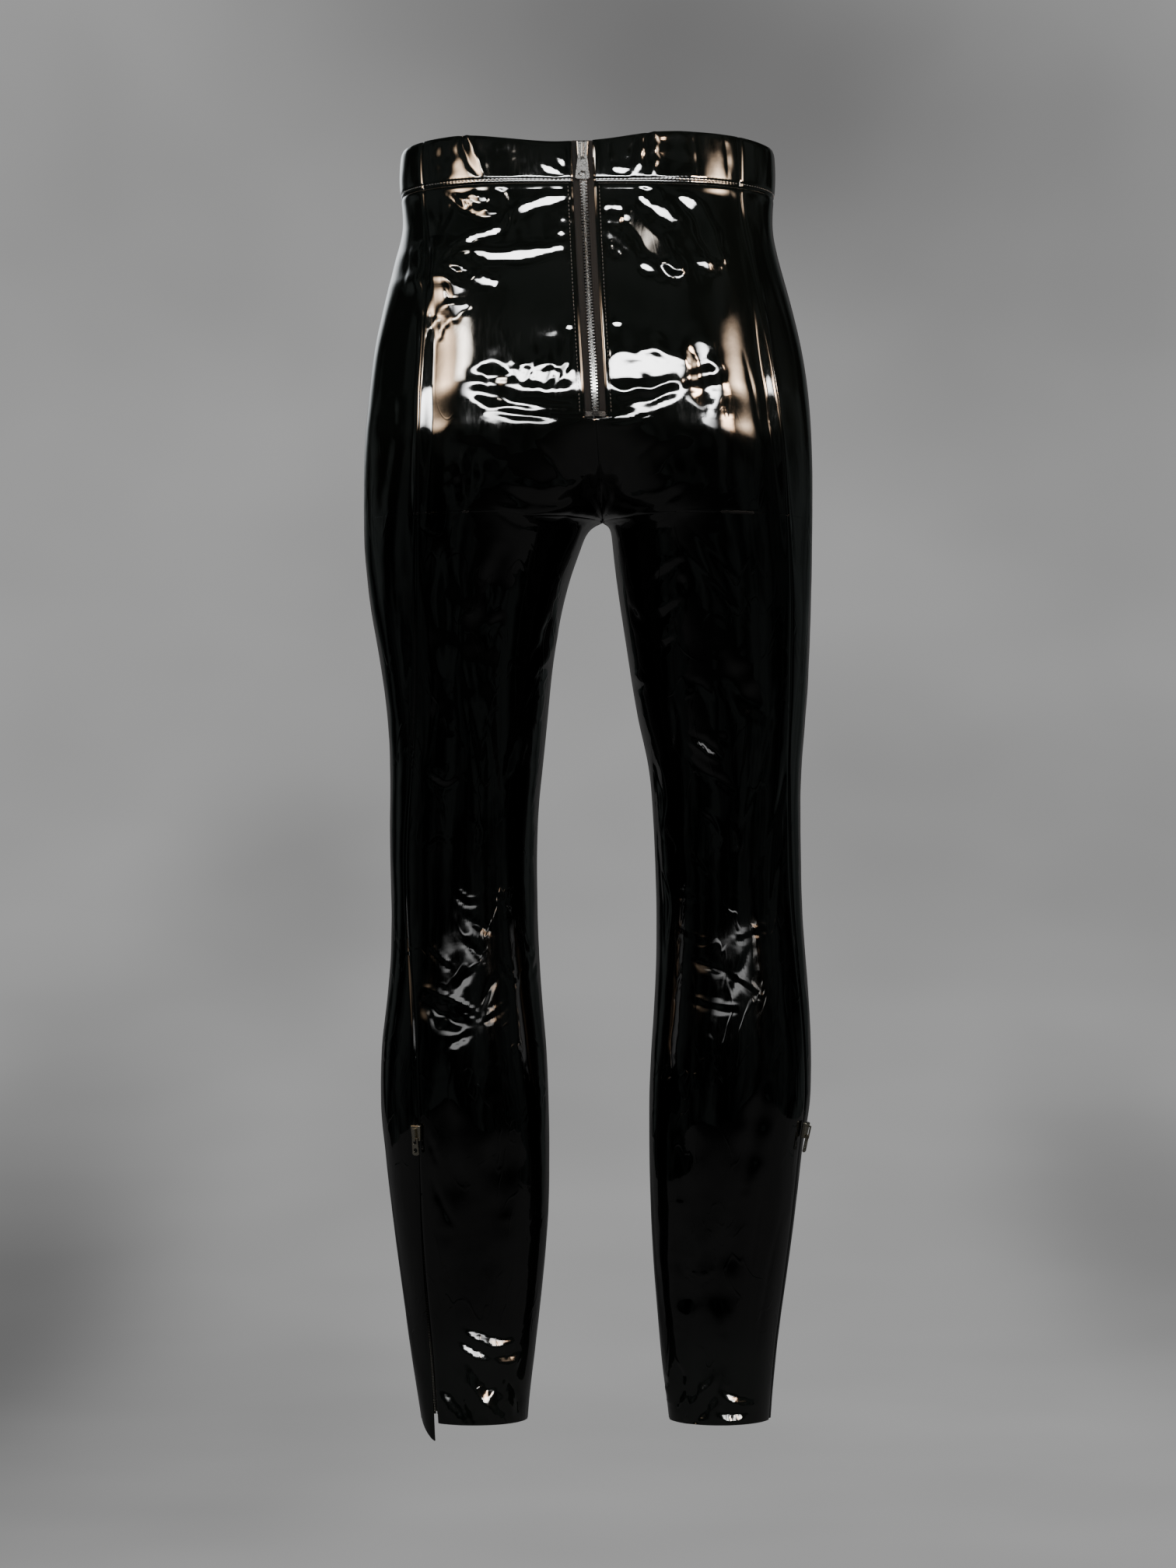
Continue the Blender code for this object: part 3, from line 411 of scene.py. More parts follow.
    (LIP, 2.8, 0.34, (108, -598), (122, -592), (136, -586)),
    (LIP, 2.8, 0.32, (104, -622), (118, -630), (130, -640)),
    (PINCH, 1.9, 0.34, (120, -604), (112, -626), (106, -642)),
    (PINCH, 1.9, 0.34, (147, -672), (142, -684), (136, -700)),
    # calves
    (SWELL, 8.0, 0.22, (134, -700), (126, -740), (118, -782)),
    (SWELL, 10.0, 0.18, (58, -690), (66, -740), (70, -800)),
    (SWELL, 10.0, 0.18, (-72, -694), (-64, -750), (-62, -810)),
    (SWELL, 9.0, 0.18, (-110, -700), (-104, -760), (-108, -816)),
    (PINCH, 1.9, 0.34, (-121, -742), (-116, -756), (-112, -768)),
    (PINCH, 1.9, 0.30, (-118, -774), (-112, -790), (-104, -806), (-98, -812)),
    (PINCH, 1.9, 0.28, (148, -800), (138, -840), (126, -912)),
    (PINCH, 1.9, 0.24, (132, -780), (126, -820), (122, -850)),
    (SWELL, 8.0, 0.20, (108, -800), (100, -850), (102, -890)),
    (SWELL, 8.0, 0.20, (66, -806), (72, -850), (70, -890)),
    (LIP, 3.0, 0.28, (70, -846), (84, -852), (96, -846)),
    # hems
    (LIP, 3.4, 0.42, (-92, -890), (-80, -896), (-68, -900), (-55, -898)),
    (LIP, 3.0, 0.34, (-96, -900), (-84, -908), (-74, -912)),
    (LIP, 3.0, 0.34, (-70, -910), (-60, -914), (-52, -908)),
    (LIP, 3.2, 0.44, (-112, -936), (-104, -944), (-94, -958)),
    (LIP, 3.6, 0.46, (-88, -920), (-82, -934), (-72, -946), (-65, -957)),
    (LIP, 3.0, 0.40, (-62, -928), (-58, -940), (-54, -956)),
    (PINCH, 2.2, 0.40, (-96, -930), (-92, -944), (-86, -958)),
    (SWELL, 6.0, 0.26, (-76, -924), (-70, -934), (-62, -940)),
    (LIP, 3.0, 0.44, (64, -916), (67, -932), (64, -950)),
    (LIP, 3.2, 0.44, (95, -930), (88, -942), (80, -954), (77, -962)),
    (LIP, 3.0, 0.38, (102, -938), (114, -944), (126, -946)),
    (LIP, 2.8, 0.34, (98, -954), (110, -956), (122, -952)),
    (PINCH, 2.0, 0.34, (72, -928), (78, -944), (74, -958)),
]
FRONT_FOLDS = [
    # drag lines from the crotch, wrinkles over the knees and slack above the hems
    (LIP, 5.0, 0.40, (-18, -262), (-44, -254), (-76, -238)),
    (LIP, 4.4, 0.38, (-14, -276), (-38, -272), (-66, -258)),
    (LIP, 4.8, 0.38, (34, -262), (60, -252), (92, -238)),
    (LIP, 4.4, 0.36, (28, -276), (52, -272), (80, -258)),
    (LIP, 4.0, 0.30, (-62, -50), (-46, -72), (-30, -94)),
    (LIP, 4.0, 0.30, (66, -46), (50, -68), (34, -92)),
    (LIP, 3.6, 0.28, (-112, -62), (-96, -82), (-78, -102)),
    (LIP, 3.6, 0.28, (114, -64), (98, -86), (84, -110)),
    (SWELL, 8.0, 0.20, (-90, -210), (-112, -200), (-132, -188)),
    (SWELL, 8.0, 0.20, (96, -212), (118, -202), (140, -186)),
    (SWELL, 8.0, 0.20, (-44, -330), (-54, -380), (-58, -432)),
    (SWELL, 8.0, 0.20, (60, -330), (68, -386), (70, -440)),
    (PINCH, 2.2, 0.30, (-118, -340), (-114, -400), (-112, -462)),
    (PINCH, 2.2, 0.30, (138, -340), (132, -400), (130, -452)),
    (PINCH, 2.0, 0.28, (-80, -320), (-86, -380), (-82, -440)),
    (PINCH, 2.0, 0.28, (98, -318), (104, -372), (100, -436)),
    (LIP, 3.6, 0.46, (-126, -548), (-100, -538), (-68, -536)),
    (LIP, 3.2, 0.42, (-112, -566), (-94, -560), (-76, -562)),
    (LIP, 3.6, 0.46, (-122, -592), (-94, -600), (-62, -598)),
    (LIP, 3.2, 0.40, (-112, -622), (-88, -632), (-60, -634)),
    (LIP, 3.0, 0.36, (-100, -642), (-84, -648), (-66, -646)),
    (LIP, 3.6, 0.46, (76, -540), (104, -548), (134, -550)),
    (LIP, 3.2, 0.42, (88, -562), (108, -568), (128, -566)),
    (LIP, 3.6, 0.46, (80, -602), (110, -600), (138, -588)),
    (LIP, 3.2, 0.40, (84, -634), (112, -630), (140, -616)),
    (SWELL, 9.0, 0.18, (-70, -690), (-64, -736), (-66, -782)),
    (SWELL, 9.0, 0.18, (122, -690), (114, -736), (112, -782)),
    (PINCH, 2.0, 0.28, (-104, -700), (-98, -760), (-96, -812)),
    (PINCH, 2.0, 0.28, (84, -704), (90, -760), (88, -806)),
    (LIP, 3.4, 0.40, (-118, -842), (-92, -852), (-64, -856)),
    (LIP, 3.4, 0.40, (72, -856), (100, -854), (128, -842)),
    (LIP, 3.2, 0.38, (-106, -888), (-84, -896), (-62, -898)),
    (LIP, 3.2, 0.38, (76, -900), (98, -898), (122, -888)),
    (LIP, 3.2, 0.40, (-112, -930), (-102, -942), (-92, -956)),
    (LIP, 3.2, 0.40, (94, -926), (88, -942), (80, -958)),
    (LIP, 3.0, 0.36, (-84, -932), (-72, -940), (-62, -938)),
    (LIP, 3.0, 0.36, (104, -934), (114, -942), (124, -938)),
]


def bent_line(corners):
    """Points along a smooth curve through a fold's corners, as x and z."""
    p = np.array([corners[0]] + list(corners) + [corners[-1]], float)
    spans = [p[k] + 0.5 * t * (p[k + 1] - p[k - 1])
             + t * t * (p[k - 1] - 2.5 * p[k] + 2 * p[k + 1] - 0.5 * p[k + 2])
             + t ** 3 * (1.5 * (p[k] - p[k + 1]) + 0.5 * (p[k + 2] - p[k - 1]))
             for k in range(1, len(p) - 2) for t in np.linspace(0, 1, 6)[:-1]]
    return np.array(spans + [p[-1]])


def tilt_of(points, normals):
    """How far the leather leans back at each point of the grid, as rise over run, evened out."""
    du, dv = np.gradient(points, axis=0), np.gradient(points, axis=1)
    facing = np.cross(dv, du)
    facing *= np.sign((facing * normals).sum(-1))[..., None]
    level = np.maximum(np.abs(facing[..., 1]), 0.3 * np.linalg.norm(facing, axis=-1) + 1e-9)
    lean = facing[..., 2] / level
    for _ in range(3):
        padded = np.pad(lean, 1, mode="edge")
        lean = (padded[:-2, 1:-1] + padded[2:, 1:-1] + padded[1:-1, :-2] + padded[1:-1, 2:]
                + 2 * padded[1:-1, 1:-1]) / 6
    return np.clip(lean, -0.6, 0.6)


SEAT_END_Z = -232.0
KNEE_TOP_Z = -520.0
CALF_END_Z = -870.0
HEM_START_Z = -885.0
STEEP = 0.55
KEY_LEAN = -0.038
KEY_LEAN_PER_MM = 0.000317


def pressed(points, normals, folds, facing, leaning=None):
    """How far the folds of one face press each point in, the back's with facing -1.
    With leaning given, only the lips are worked out, and without it all the others."""
    depth = np.zeros(points.shape[:2])
    turned = ease((normals[..., 1] * facing + 0.10) / 0.35)
    px, pz = points[..., 0], points[..., 2]
    for kind, width, slope, *corners in folds:
        if (kind == LIP) == (leaning is None):
            continue
        line = bent_line(corners)
        reach = 3.2 * width + 1
        near = ((px > line[:, 0].min() - reach) & (px < line[:, 0].max() + reach)
                & (pz > line[:, 1].min() - reach) & (pz < line[:, 1].max() + reach) & (turned > 0))
        if not near.any():
            continue
        qx, qz = px[near], pz[near]
        pieces = np.hypot(*np.diff(line, axis=0).T)
        run = np.concatenate([[0], np.cumsum(pieces)])
        best = np.full(qx.shape, 1e9)
        side, place, level = np.zeros(qx.shape), np.zeros(qx.shape), np.ones(qx.shape)
        for k, piece in enumerate(pieces):
            dx, dz = (line[k + 1] - line[k]) / piece
            f = np.clip((qx - line[k, 0]) * dx + (qz - line[k, 1]) * dz, 0, piece)
            ex, ez = qx - line[k, 0] - f * dx, qz - line[k, 1] - f * dz
            away = np.hypot(ex, ez)
            closer = away < best
            best = np.where(closer, away, best)
            side = np.where(closer, dx * ez - dz * ex, side)
            place = np.where(closer, (run[k] + f) / run[-1], place)
            level = np.where(closer, abs(dx), level)
        taper = np.sin(np.clip(place, 0.03, 0.97) * math.pi) ** 0.6
        wide = width * (0.7 + 0.45 * np.sin(np.clip(place, 0, 1) * math.pi)
                        + 0.12 * np.sin(place * 17 + width))
        if kind == LIP:
            # Lips are narrow round the knees and wide again at the hems. On the seat, at the hems
            # and where they are steep, they lean just so far that their gloss faces the key box.
            wide = wide * (0.45 + 0.55 * ease((qz - KNEE_TOP_Z) / 60)
                           + 0.65 * ease((CALF_END_Z - qz) / 20))
            wanted = KEY_LEAN - KEY_LEAN_PER_MM * (qz + 90)
            share = np.clip((slope - 0.16) / 0.14 + 2 * ease((qz - SEAT_END_Z - 7) / 10)
                            + 2 * ease((HEM_START_Z - qz) / 8), 0, 1)
            to_light = (leaning[near] - wanted) / np.maximum(level, 0.85) * share
            lit = (qz > SEAT_END_Z) | (qz < HEM_START_Z) | (slope > STEEP)
            upright = np.where(lit, to_light, 0.8 * slope)
            taper = np.clip(4.0 * np.sin(np.clip(place, 0.02, 0.98) * math.pi), 0, 1)
            beyond = np.maximum(best / wide - 0.8, 0)
            shape = -side * np.exp(-(beyond / 0.75) ** 2) * upright * 1.06 / slope
        elif kind == PINCH:
            shape = wide * np.exp(-1.25 * np.sqrt((best / wide) ** 2 + 0.09) + 0.3)
        else:
            shape = 1.17 * wide * np.exp(-(best / wide) ** 2)
        depth[near] += slope * taper * shape * turned[near]
    return depth


def unevenness(points, broad, fine):
    """The slow waves and the small dents of worn patent leather, in millimetres."""
    flat = points.reshape(-1, 3)
    out = np.empty(len(flat))
    for i, (x, y, z) in enumerate(flat):
        out[i] = (broad * noise.noise(Vector((x / 46, y / 46, z / 80)))
                  + fine * noise.noise(Vector((x / 15 + 40, y / 15, z / 24)))
                  + fine * 0.35 * noise.noise(Vector((x / 6 + 9, y / 6, z / 9))))
    return out.reshape(points.shape[:2])


def near_edge(distance_in, roll, width):
    """The turned-in edge of a sewn piece: how far it rolls in, by the distance from the edge."""
    return roll * np.exp(-(np.clip(distance_in, 0, 99) / width) ** 1.5)


def leather_piece(name, points, uv, wall, material, lining):
    """One sheet over a grid of points, given its wall by Solidify. uv is in metres along it."""
    rows, columns = points.shape[:2]
    bm = bmesh.new()
    bmesh.ops.create_grid(bm, x_segments=columns - 1, y_segments=rows - 1, size=1, calc_uvs=False)
    mesh = bpy.data.meshes.new(name)
    bm.to_mesh(mesh)
    bm.free()
    flat = np.empty(len(mesh.vertices) * 3, np.float32)
    mesh.vertices.foreach_get("co", flat)
    flat = flat.reshape(-1, 3)
    j = np.rint((flat[:, 0] + 1) / 2 * (columns - 1)).astype(int)
    i = np.rint((flat[:, 1] + 1) / 2 * (rows - 1)).astype(int)
    mesh.vertices.foreach_set("co", (points[i, j] * MM).astype(np.float32).ravel())
    layer = mesh.uv_layers.new(name="along_the_leather")
    corners = np.empty(len(mesh.loops), np.int32)
    mesh.loops.foreach_get("vertex_index", corners)
    layer.data.foreach_set("uv", uv[i, j][corners].astype(np.float32).ravel())
    mesh.update()
    mesh.materials.append(material)
    mesh.materials.append(lining)
    mesh.shade_smooth()
    piece = bpy.data.objects.new(name, mesh)
    bpy.context.scene.collection.objects.link(piece)
    thick = piece.modifiers.new("wall", "SOLIDIFY")
    thick.thickness = wall * MM
    thick.offset = -1
    thick.material_offset = 1
    thick.material_offset_rim = 0
    return piece


def face_out(piece, points, normals):
    """Turns a sheet's faces to point the way its normals do."""
    r, c = points.shape[0] // 2, points.shape[1] // 2
    across = points[r, c + 1] - points[r, c]
    up = points[r + 1, c] - points[r, c]
    if np.cross(across, up) @ normals[r, c] < 0:
        piece.data.flip_normals()


def added(tree, kind, sockets=None, **settings):
    """A new shader node with its settings, and each socket given its value or its wire."""
    node = tree.nodes.new("ShaderNode" + kind)
    for setting, value in settings.items():
        setattr(node, setting, value)
    for socket, value in (sockets or {}).items():
        if isinstance(value, bpy.types.NodeSocket):
            tree.links.new(value, node.inputs[socket])
        else:
            node.inputs[socket].default_value = value
    return node


def new_material(name, **values):
    """A material, its node tree and its shader, with the shader's own sockets set."""
    material = bpy.data.materials.new(name)
    material.use_nodes = True
    shader = material.node_tree.nodes["Principled BSDF"]
    for socket, value in values.items():
        shader.inputs[socket.replace("_", " ")].default_value = value
    return material, material.node_tree, shader


def bumped(tree, shader, height, distance, sockets=("Normal",)):
    """Small relief from a height, wired to the shader."""
    bump = added(tree, "Bump", {"Distance": distance, "Height": height})
    for socket in sockets:
        tree.links.new(bump.outputs["Normal"], shader.inputs[socket])


def coloured(tree, shader, share, dark, light):
    """Base colour between two tones."""
    tone = added(tree, "Mix", {"A": (*dark, 1), "B": (*light, 1), "Factor": share},
                 data_type="RGBA")
    tree.links.new(tone.outputs["Result"], shader.inputs["Base Color"])


# Patent leather is nearly black under a hard clear coat. The coat has a faint orange peel, slow
# waves, fine scuffs, and crinkles that run along the legs; the tight seat has hardly any.
# Faint green-grey patches in the base colour are painted reflection of the dim room on the near-black
# leather.
peel = bpy.data.node_groups.new("coat_unevenness", "ShaderNodeTree")
for title, default in (("Peel Size", 240.0), ("Scuff Amount", 0.5)):
    socket = peel.interface.new_socket(title, in_out="INPUT", socket_type="NodeSocketFloat")
    socket.default_value = default
for title in ("Height", "Roughness", "Tint"):
    peel.interface.new_socket(title, in_out="OUTPUT", socket_type="NodeSocketFloat")
g_in, g_out = peel.nodes.new("NodeGroupInput"), peel.nodes.new("NodeGroupOutput")
place = peel.nodes.new("ShaderNodeTexCoord").outputs["Object"]
coarse = added(peel, "TexNoise", {"Detail": 1.0, "Vector": place,
                                  "Scale": g_in.outputs["Peel Size"]})
slow = added(peel, "TexNoise", {"Scale": 34.0, "Detail": 2.0, "Vector": place})
waves = added(peel, "Math", {0: slow.outputs["Fac"], 1: 2.4, 2: coarse.outputs["Fac"]},
              operation="MULTIPLY_ADD")
drawn_out = added(peel, "Mapping", {"Scale": (1.0, 1.0, 0.42), "Vector": place})
creases = added(peel, "TexNoise", {"Scale": 44.0, "Detail": 2.0, "Distortion": 0.7,
                                   "Vector": drawn_out.outputs["Vector"]})
from_line = added(peel, "Math", {1: 0.5, 0: creases.outputs["Fac"]}, operation="SUBTRACT")
distance_off = added(peel, "Math", {0: from_line.outputs["Value"]}, operation="ABSOLUTE")
crinkle = added(peel, "MapRange", {"From Min": 0.035, "From Max": 0.0,
                                   "Value": distance_off.outputs["Value"]},
                interpolation_type="SMOOTHSTEP")
height_split = added(peel, "SeparateXYZ", {"Vector": place})
on_legs = added(peel, "MapRange", {"From Min": -0.20, "From Max": -0.30, "To Min": 0.6,
                                   "To Max": 9.0, "Value": height_split.outputs["Z"]})
gaps = added(peel, "TexNoise", {"Scale": 21.0, "Vector": place})
gap_mask = added(peel, "MapRange", {"From Min": 0.46, "From Max": 0.60,
                                    "Value": gaps.outputs["Fac"]})
masked = added(peel, "Math", {0: crinkle.outputs["Result"], 1: gap_mask.outputs["Result"]},
               operation="MULTIPLY")
crinkled = added(peel, "Math", {0: masked.outputs["Value"], 1: on_legs.outputs["Result"],
                                2: waves.outputs["Value"]}, operation="MULTIPLY_ADD")
stretch = added(peel, "Mapping", {"Scale": (1.0, 1.0, 0.22), "Rotation": (0.3, 0.5, 0.0),
                                  "Vector": place})
scratches = added(peel, "TexNoise", {"Scale": 420.0, "Detail": 3.0, "Roughness": 0.7,
                                     "Vector": stretch.outputs["Vector"]})
# The same patches mask the scuffs, which are real wear, and tint the base colour as a painted
# reflection
scuff_and_reflection_patches = added(peel, "TexNoise", {"Scale": 14.0, "Detail": 3.0, "Vector": place})
scuffed = added(peel, "Math", {0: scratches.outputs["Fac"], 1: scuff_and_reflection_patches.outputs["Fac"]},
                operation="MULTIPLY")
spread = added(peel, "MapRange", {"From Min": 0.18, "From Max": 0.42,
                                  "Value": scuffed.outputs["Value"],
                                  "To Max": g_in.outputs["Scuff Amount"]})
peel.links.new(crinkled.outputs["Value"], g_out.inputs["Height"])
peel.links.new(spread.outputs["Result"], g_out.inputs["Roughness"])
peel.links.new(scuff_and_reflection_patches.outputs["Fac"], g_out.inputs["Tint"])


def patent_leather(name, dark, light, roughness, peel_size, peel_height, scuffs):
    """Near-black leather under a clear coat, with faint green-grey patches of painted reflection in
    its base colour.
    """
    material, tree, shader = new_material(name, IOR=1.5, Coat_Weight=1.0, Coat_Roughness=0.015,
                                          Coat_IOR=1.55)
    effect = tree.nodes.new("ShaderNodeGroup")
    effect.node_tree = peel
    effect.inputs["Peel Size"].default_value = peel_size
    effect.inputs["Scuff Amount"].default_value = scuffs
    # Base colour: the leather's own near-black, with painted reflection patches of green-grey
    coloured(tree, shader, effect.outputs["Tint"], dark, light)
    rough = added(tree, "Math", {1: roughness, 0: effect.outputs["Roughness"]}, operation="ADD")
    tree.links.new(rough.outputs["Value"], shader.inputs["Roughness"])
    bumped(tree, shader, effect.outputs["Height"], peel_height, ("Normal", "Coat Normal"))
    return material


def knitted_backing(name):
    """The leather's woven backing, which shows inside the waist and the hems."""
    material, tree, shader = new_material(name, Roughness=0.9, Sheen_Weight=0.25)
    uv = tree.nodes.new("ShaderNodeUVMap").outputs["UV"]
    ribs = added(tree, "TexWave", {"Scale": 420.0, "Distortion": 0.4, "Vector": uv})
    crossed = added(tree, "TexWave", {"Scale": 420.0, "Vector": uv}, bands_direction="Y")
    both = added(tree, "Math", {0: ribs.outputs["Fac"], 1: crossed.outputs["Fac"]},
                 operation="MULTIPLY")
    coloured(tree, shader, both.outputs["Value"], (0.012, 0.012, 0.013), (0.035, 0.035, 0.037))
    bumped(tree, shader, both.outputs["Value"], 0.0002)
    return material


patent = patent_leather("black_patent_leather", (0.0007, 0.0010, 0.0009), (0.0016, 0.0021, 0.0019),
                        0.05, 260.0, 0.00001, 0.10)
backing = knitted_backing("woven_backing")

STEP = 2.5
FINE_STEP = 1.75
crotch_steps = 0.055 * np.arange(1, 22) ** 2
torso_heights = CROTCH_Z + crotch_steps
above = np.arange(torso_heights[-1] + FINE_STEP, -BAND_HEIGHT - 5, FINE_STEP)
torso_rows = np.concatenate([torso_heights, above,
                             [-39.2, -38.0, -37.0, -36.3, -35.8, -35.5, -35.3]])
keep = np.abs(torso_rows - (ZIP_END_Z - 0.8)) > 0.9
torso_rows = np.sort(np.concatenate([torso_rows[keep], [ZIP_END_Z - 0.3, ZIP_END_Z - 1.4]]))
below = np.arange(CROTCH_Z - crotch_steps[-1] - STEP, HEM_Z + 4.5, -STEP)
leg_rows = np.concatenate([CROTCH_Z - crotch_steps, below,
                           HEM_Z + np.array([3.8, 2.7, 1.8, 1.1, 0.6, 0.25, 0.0])])
all_rows = np.concatenate([torso_rows[::-1], [CROTCH_Z], leg_rows])


def vent_half(z):
    """Half the width of the side seam, or of the vent under it."""
    opened = np.clip((VENT_TOP_Z - z) / (VENT_TOP_Z - HEM_Z), 0, 1)
    return SEAM_GAP / 2 + (VENT_HALF - SEAM_GAP / 2) * opened


def panel_distances(side, panel, z):
    """Where a panel's two edges lie along the section at height z."""
    _, _, distance, seam = section(side, z)
    if panel == "back":
        return ZIP_OPENING if z > ZIP_END_Z - 1 else SEAM_GAP / 2, seam - vent_half(z)
    return seam + vent_half(z), distance[-1] - SEAM_GAP / 2


PANEL_COLUMNS = dict(back=94, front=86)
EDGE_ROWS = np.array([0.0, 0.25, 0.6, 1.1, 1.8, 2.7])
ZIP_GROOVE = 3.8         # from the leather's edge to the stitched groove beside the zip
zip_edges = {}
for side in ("left", "right"):
    for panel in ("back", "front"):
        distances, edges = [], []
        for z in all_rows:
            low, high = panel_distances(side, panel, z)
            length = high - low
            inner = np.linspace(ZIP_GROOVE, length - ZIP_GROOVE, PANEL_COLUMNS[panel])
            into = np.concatenate([EDGE_ROWS, inner, length - EDGE_ROWS[::-1]])
            distances.append(low + into)
            edges.append(np.stack([into, length - into], 1))
        distances, edges = np.array(distances), np.array(edges)
        points, normals = surface(side, all_rows, distances)
        depth = pressed(points, normals, BACK_FOLDS, -1) + pressed(points, normals, FRONT_FOLDS, 1)
        px, pz = points[..., 0], points[..., 2]
        behind = ease((-normals[..., 1] - 0.1) / 0.4)
        calm = 0.24 + 0.36 * ease((-215 - pz) / 60)
        depth += unevenness(points, 1.2, 0.30) * calm
        # Each side of the seat is rounder than the level sections, and the waist hollows under
        # the band.
        drop = np.where(pz < -180, 95.0, 60.0)
        depth += (SEAT_ROUND * ease((np.abs(px - 2) - 34) / 90)
                  * np.exp(-((pz + 180) / drop) ** 2) * behind)
        under = ease((-184 - pz) / 32) * (1 - ease((-230 - pz) / 120))
        depth += SEAT_TUCK * ease((np.abs(px - 2) - 46) / 30) * under * behind
        depth += WAIST_HOLLOW * np.exp((pz + BAND_HEIGHT) / 13) * (0.4 + 0.6 * behind)
        leaning = tilt_of(points - normals * depth[..., None], normals)
        depth += (pressed(points, normals, BACK_FOLDS, -1, leaning)
                  + pressed(points, normals, FRONT_FOLDS, 1, leaning))
        settle = ease(edges.min(-1) / 10) * ease((-BAND_HEIGHT - pz) / 9)
        depth *= 0.25 + 0.75 * settle
        depth *= ease((-BAND_HEIGHT - pz) / 5)
        sewn = near_edge(edges[..., 0], 0.9, 1.5) + near_edge(edges[..., 1], 0.9, 1.5)
        from_top = -BAND_HEIGHT - SEAM_GAP - pz
        depth += np.minimum(sewn, 0.9) + near_edge(from_top, 0.8, 2.0)
        if panel == "back":
            bead = -0.5 * np.exp(-((edges[..., 0] - ZIP_GROOVE / 2) / 1.3) ** 2)
            groove = 0.3 * np.exp(-((edges[..., 0] - ZIP_GROOVE) / 0.8) ** 2)
            depth += np.where(pz > ZIP_END_Z - 1, bead + groove, 0)
        points = points - normals * depth[..., None]
        if side == "left" and panel == "front":
            hang = ease((HEM_Z + 26 - points[..., 2]) / 26) * np.clip(1 - edges[..., 0] / 22, 0, 1)
            points[..., 2] -= TIP_DROP * hang
        if panel == "back":
            in_groove = len(EDGE_ROWS)
            sewn_rows = points[:, in_groove, 2] > ZIP_END_Z + 1
            zip_edges[side] = points[sewn_rows, in_groove], normals[sewn_rows, in_groove]
        uv = np.stack([distances, np.broadcast_to(all_rows[:, None], distances.shape)], -1) * MM
        name = f"{panel}_{side}_panel"
        piece = leather_piece(name, points, uv, LEATHER, patent, backing)
        face_out(piece, points, normals)
        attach(piece, "garment")
        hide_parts(f"{panel}_{side}")

# --- Waistband --------------------------------------------------------------------------------
# A straight band of the same patent leather, stiffened and folded over, in three parts that meet
# at the side seams. Its lower edge is stitched through, and the thread pulls small dimples.
BAND_WALL = 2.2
STITCH = 3.1
STITCH_UP = 3.0
TOP_WAVE = np.array([
    [-143, 0.0], [-124, 2.0], [-92, 3.0], [-48, -2.5], [-24, -4.5], [-8, -3.0],
    [8, -3.0], [30, 0.5], [57, 5.0], [90, 4.5], [115, 4.0], [143, 1.0],
])
wave_x = np.arange(-170.0, 170.1, 1.0)
wave_rise = np.convolve(np.pad(np.interp(wave_x, TOP_WAVE[:, 0], TOP_WAVE[:, 1]), 24, mode="edge"),
                        np.hanning(49) / np.hanning(49).sum(), mode="valid")
band_heights = np.concatenate([[0.0, -0.25, -0.6, -1.1, -1.8], np.linspace(-2.8, -29.5, 19),
                               np.linspace(-30.3, -33.6, 6), [-34.2, -34.6, -34.85, -35.0]])
BAND_FOLDS = [
    (LIP, 3.0, 0.40, (-93, 3), (-88, -12), (-78, -31)),
    (SWELL, 6.0, 0.16, (-108, 2), (-108, -30)),
    (LIP, 2.6, 0.36, (-34, -20), (-27, -26), (-18, -29)),
    (LIP, 2.4, 0.36, (-24, -12), (-18, -20), (-12, -24)),
    (PINCH, 2.0, 0.34, (-16, -4), (-17, -14), (-14, -26)),
    (LIP, 3.0, 0.36, (37, -3), (35, -16), (31, -29)),
    (SWELL, 9.0, 0.18, (60, 4), (61, -14), (58, -31)),
    (LIP, 3.0, 0.26, (47, 3), (46, -14), (47, -30)),
    (PINCH, 2.0, 0.30, (77, 4), (80, -10), (82, -30)),
    (PINCH, 2.0, 0.28, (16, -3), (15, -14), (18, -27)),
    (LIP, 2.4, 0.34, (18, -24), (26, -27), (32, -25)),
    (PINCH, 2.0, 0.24, (100, 4), (103, -12), (104, -31)),
    (PINCH, 2.0, 0.24, (-122, 0), (-120, -14), (-119, -31)),
    (SWELL, 8.0, 0.12, (-64, 0), (-60, -16), (-56, -31)),
]
stitch_places = []


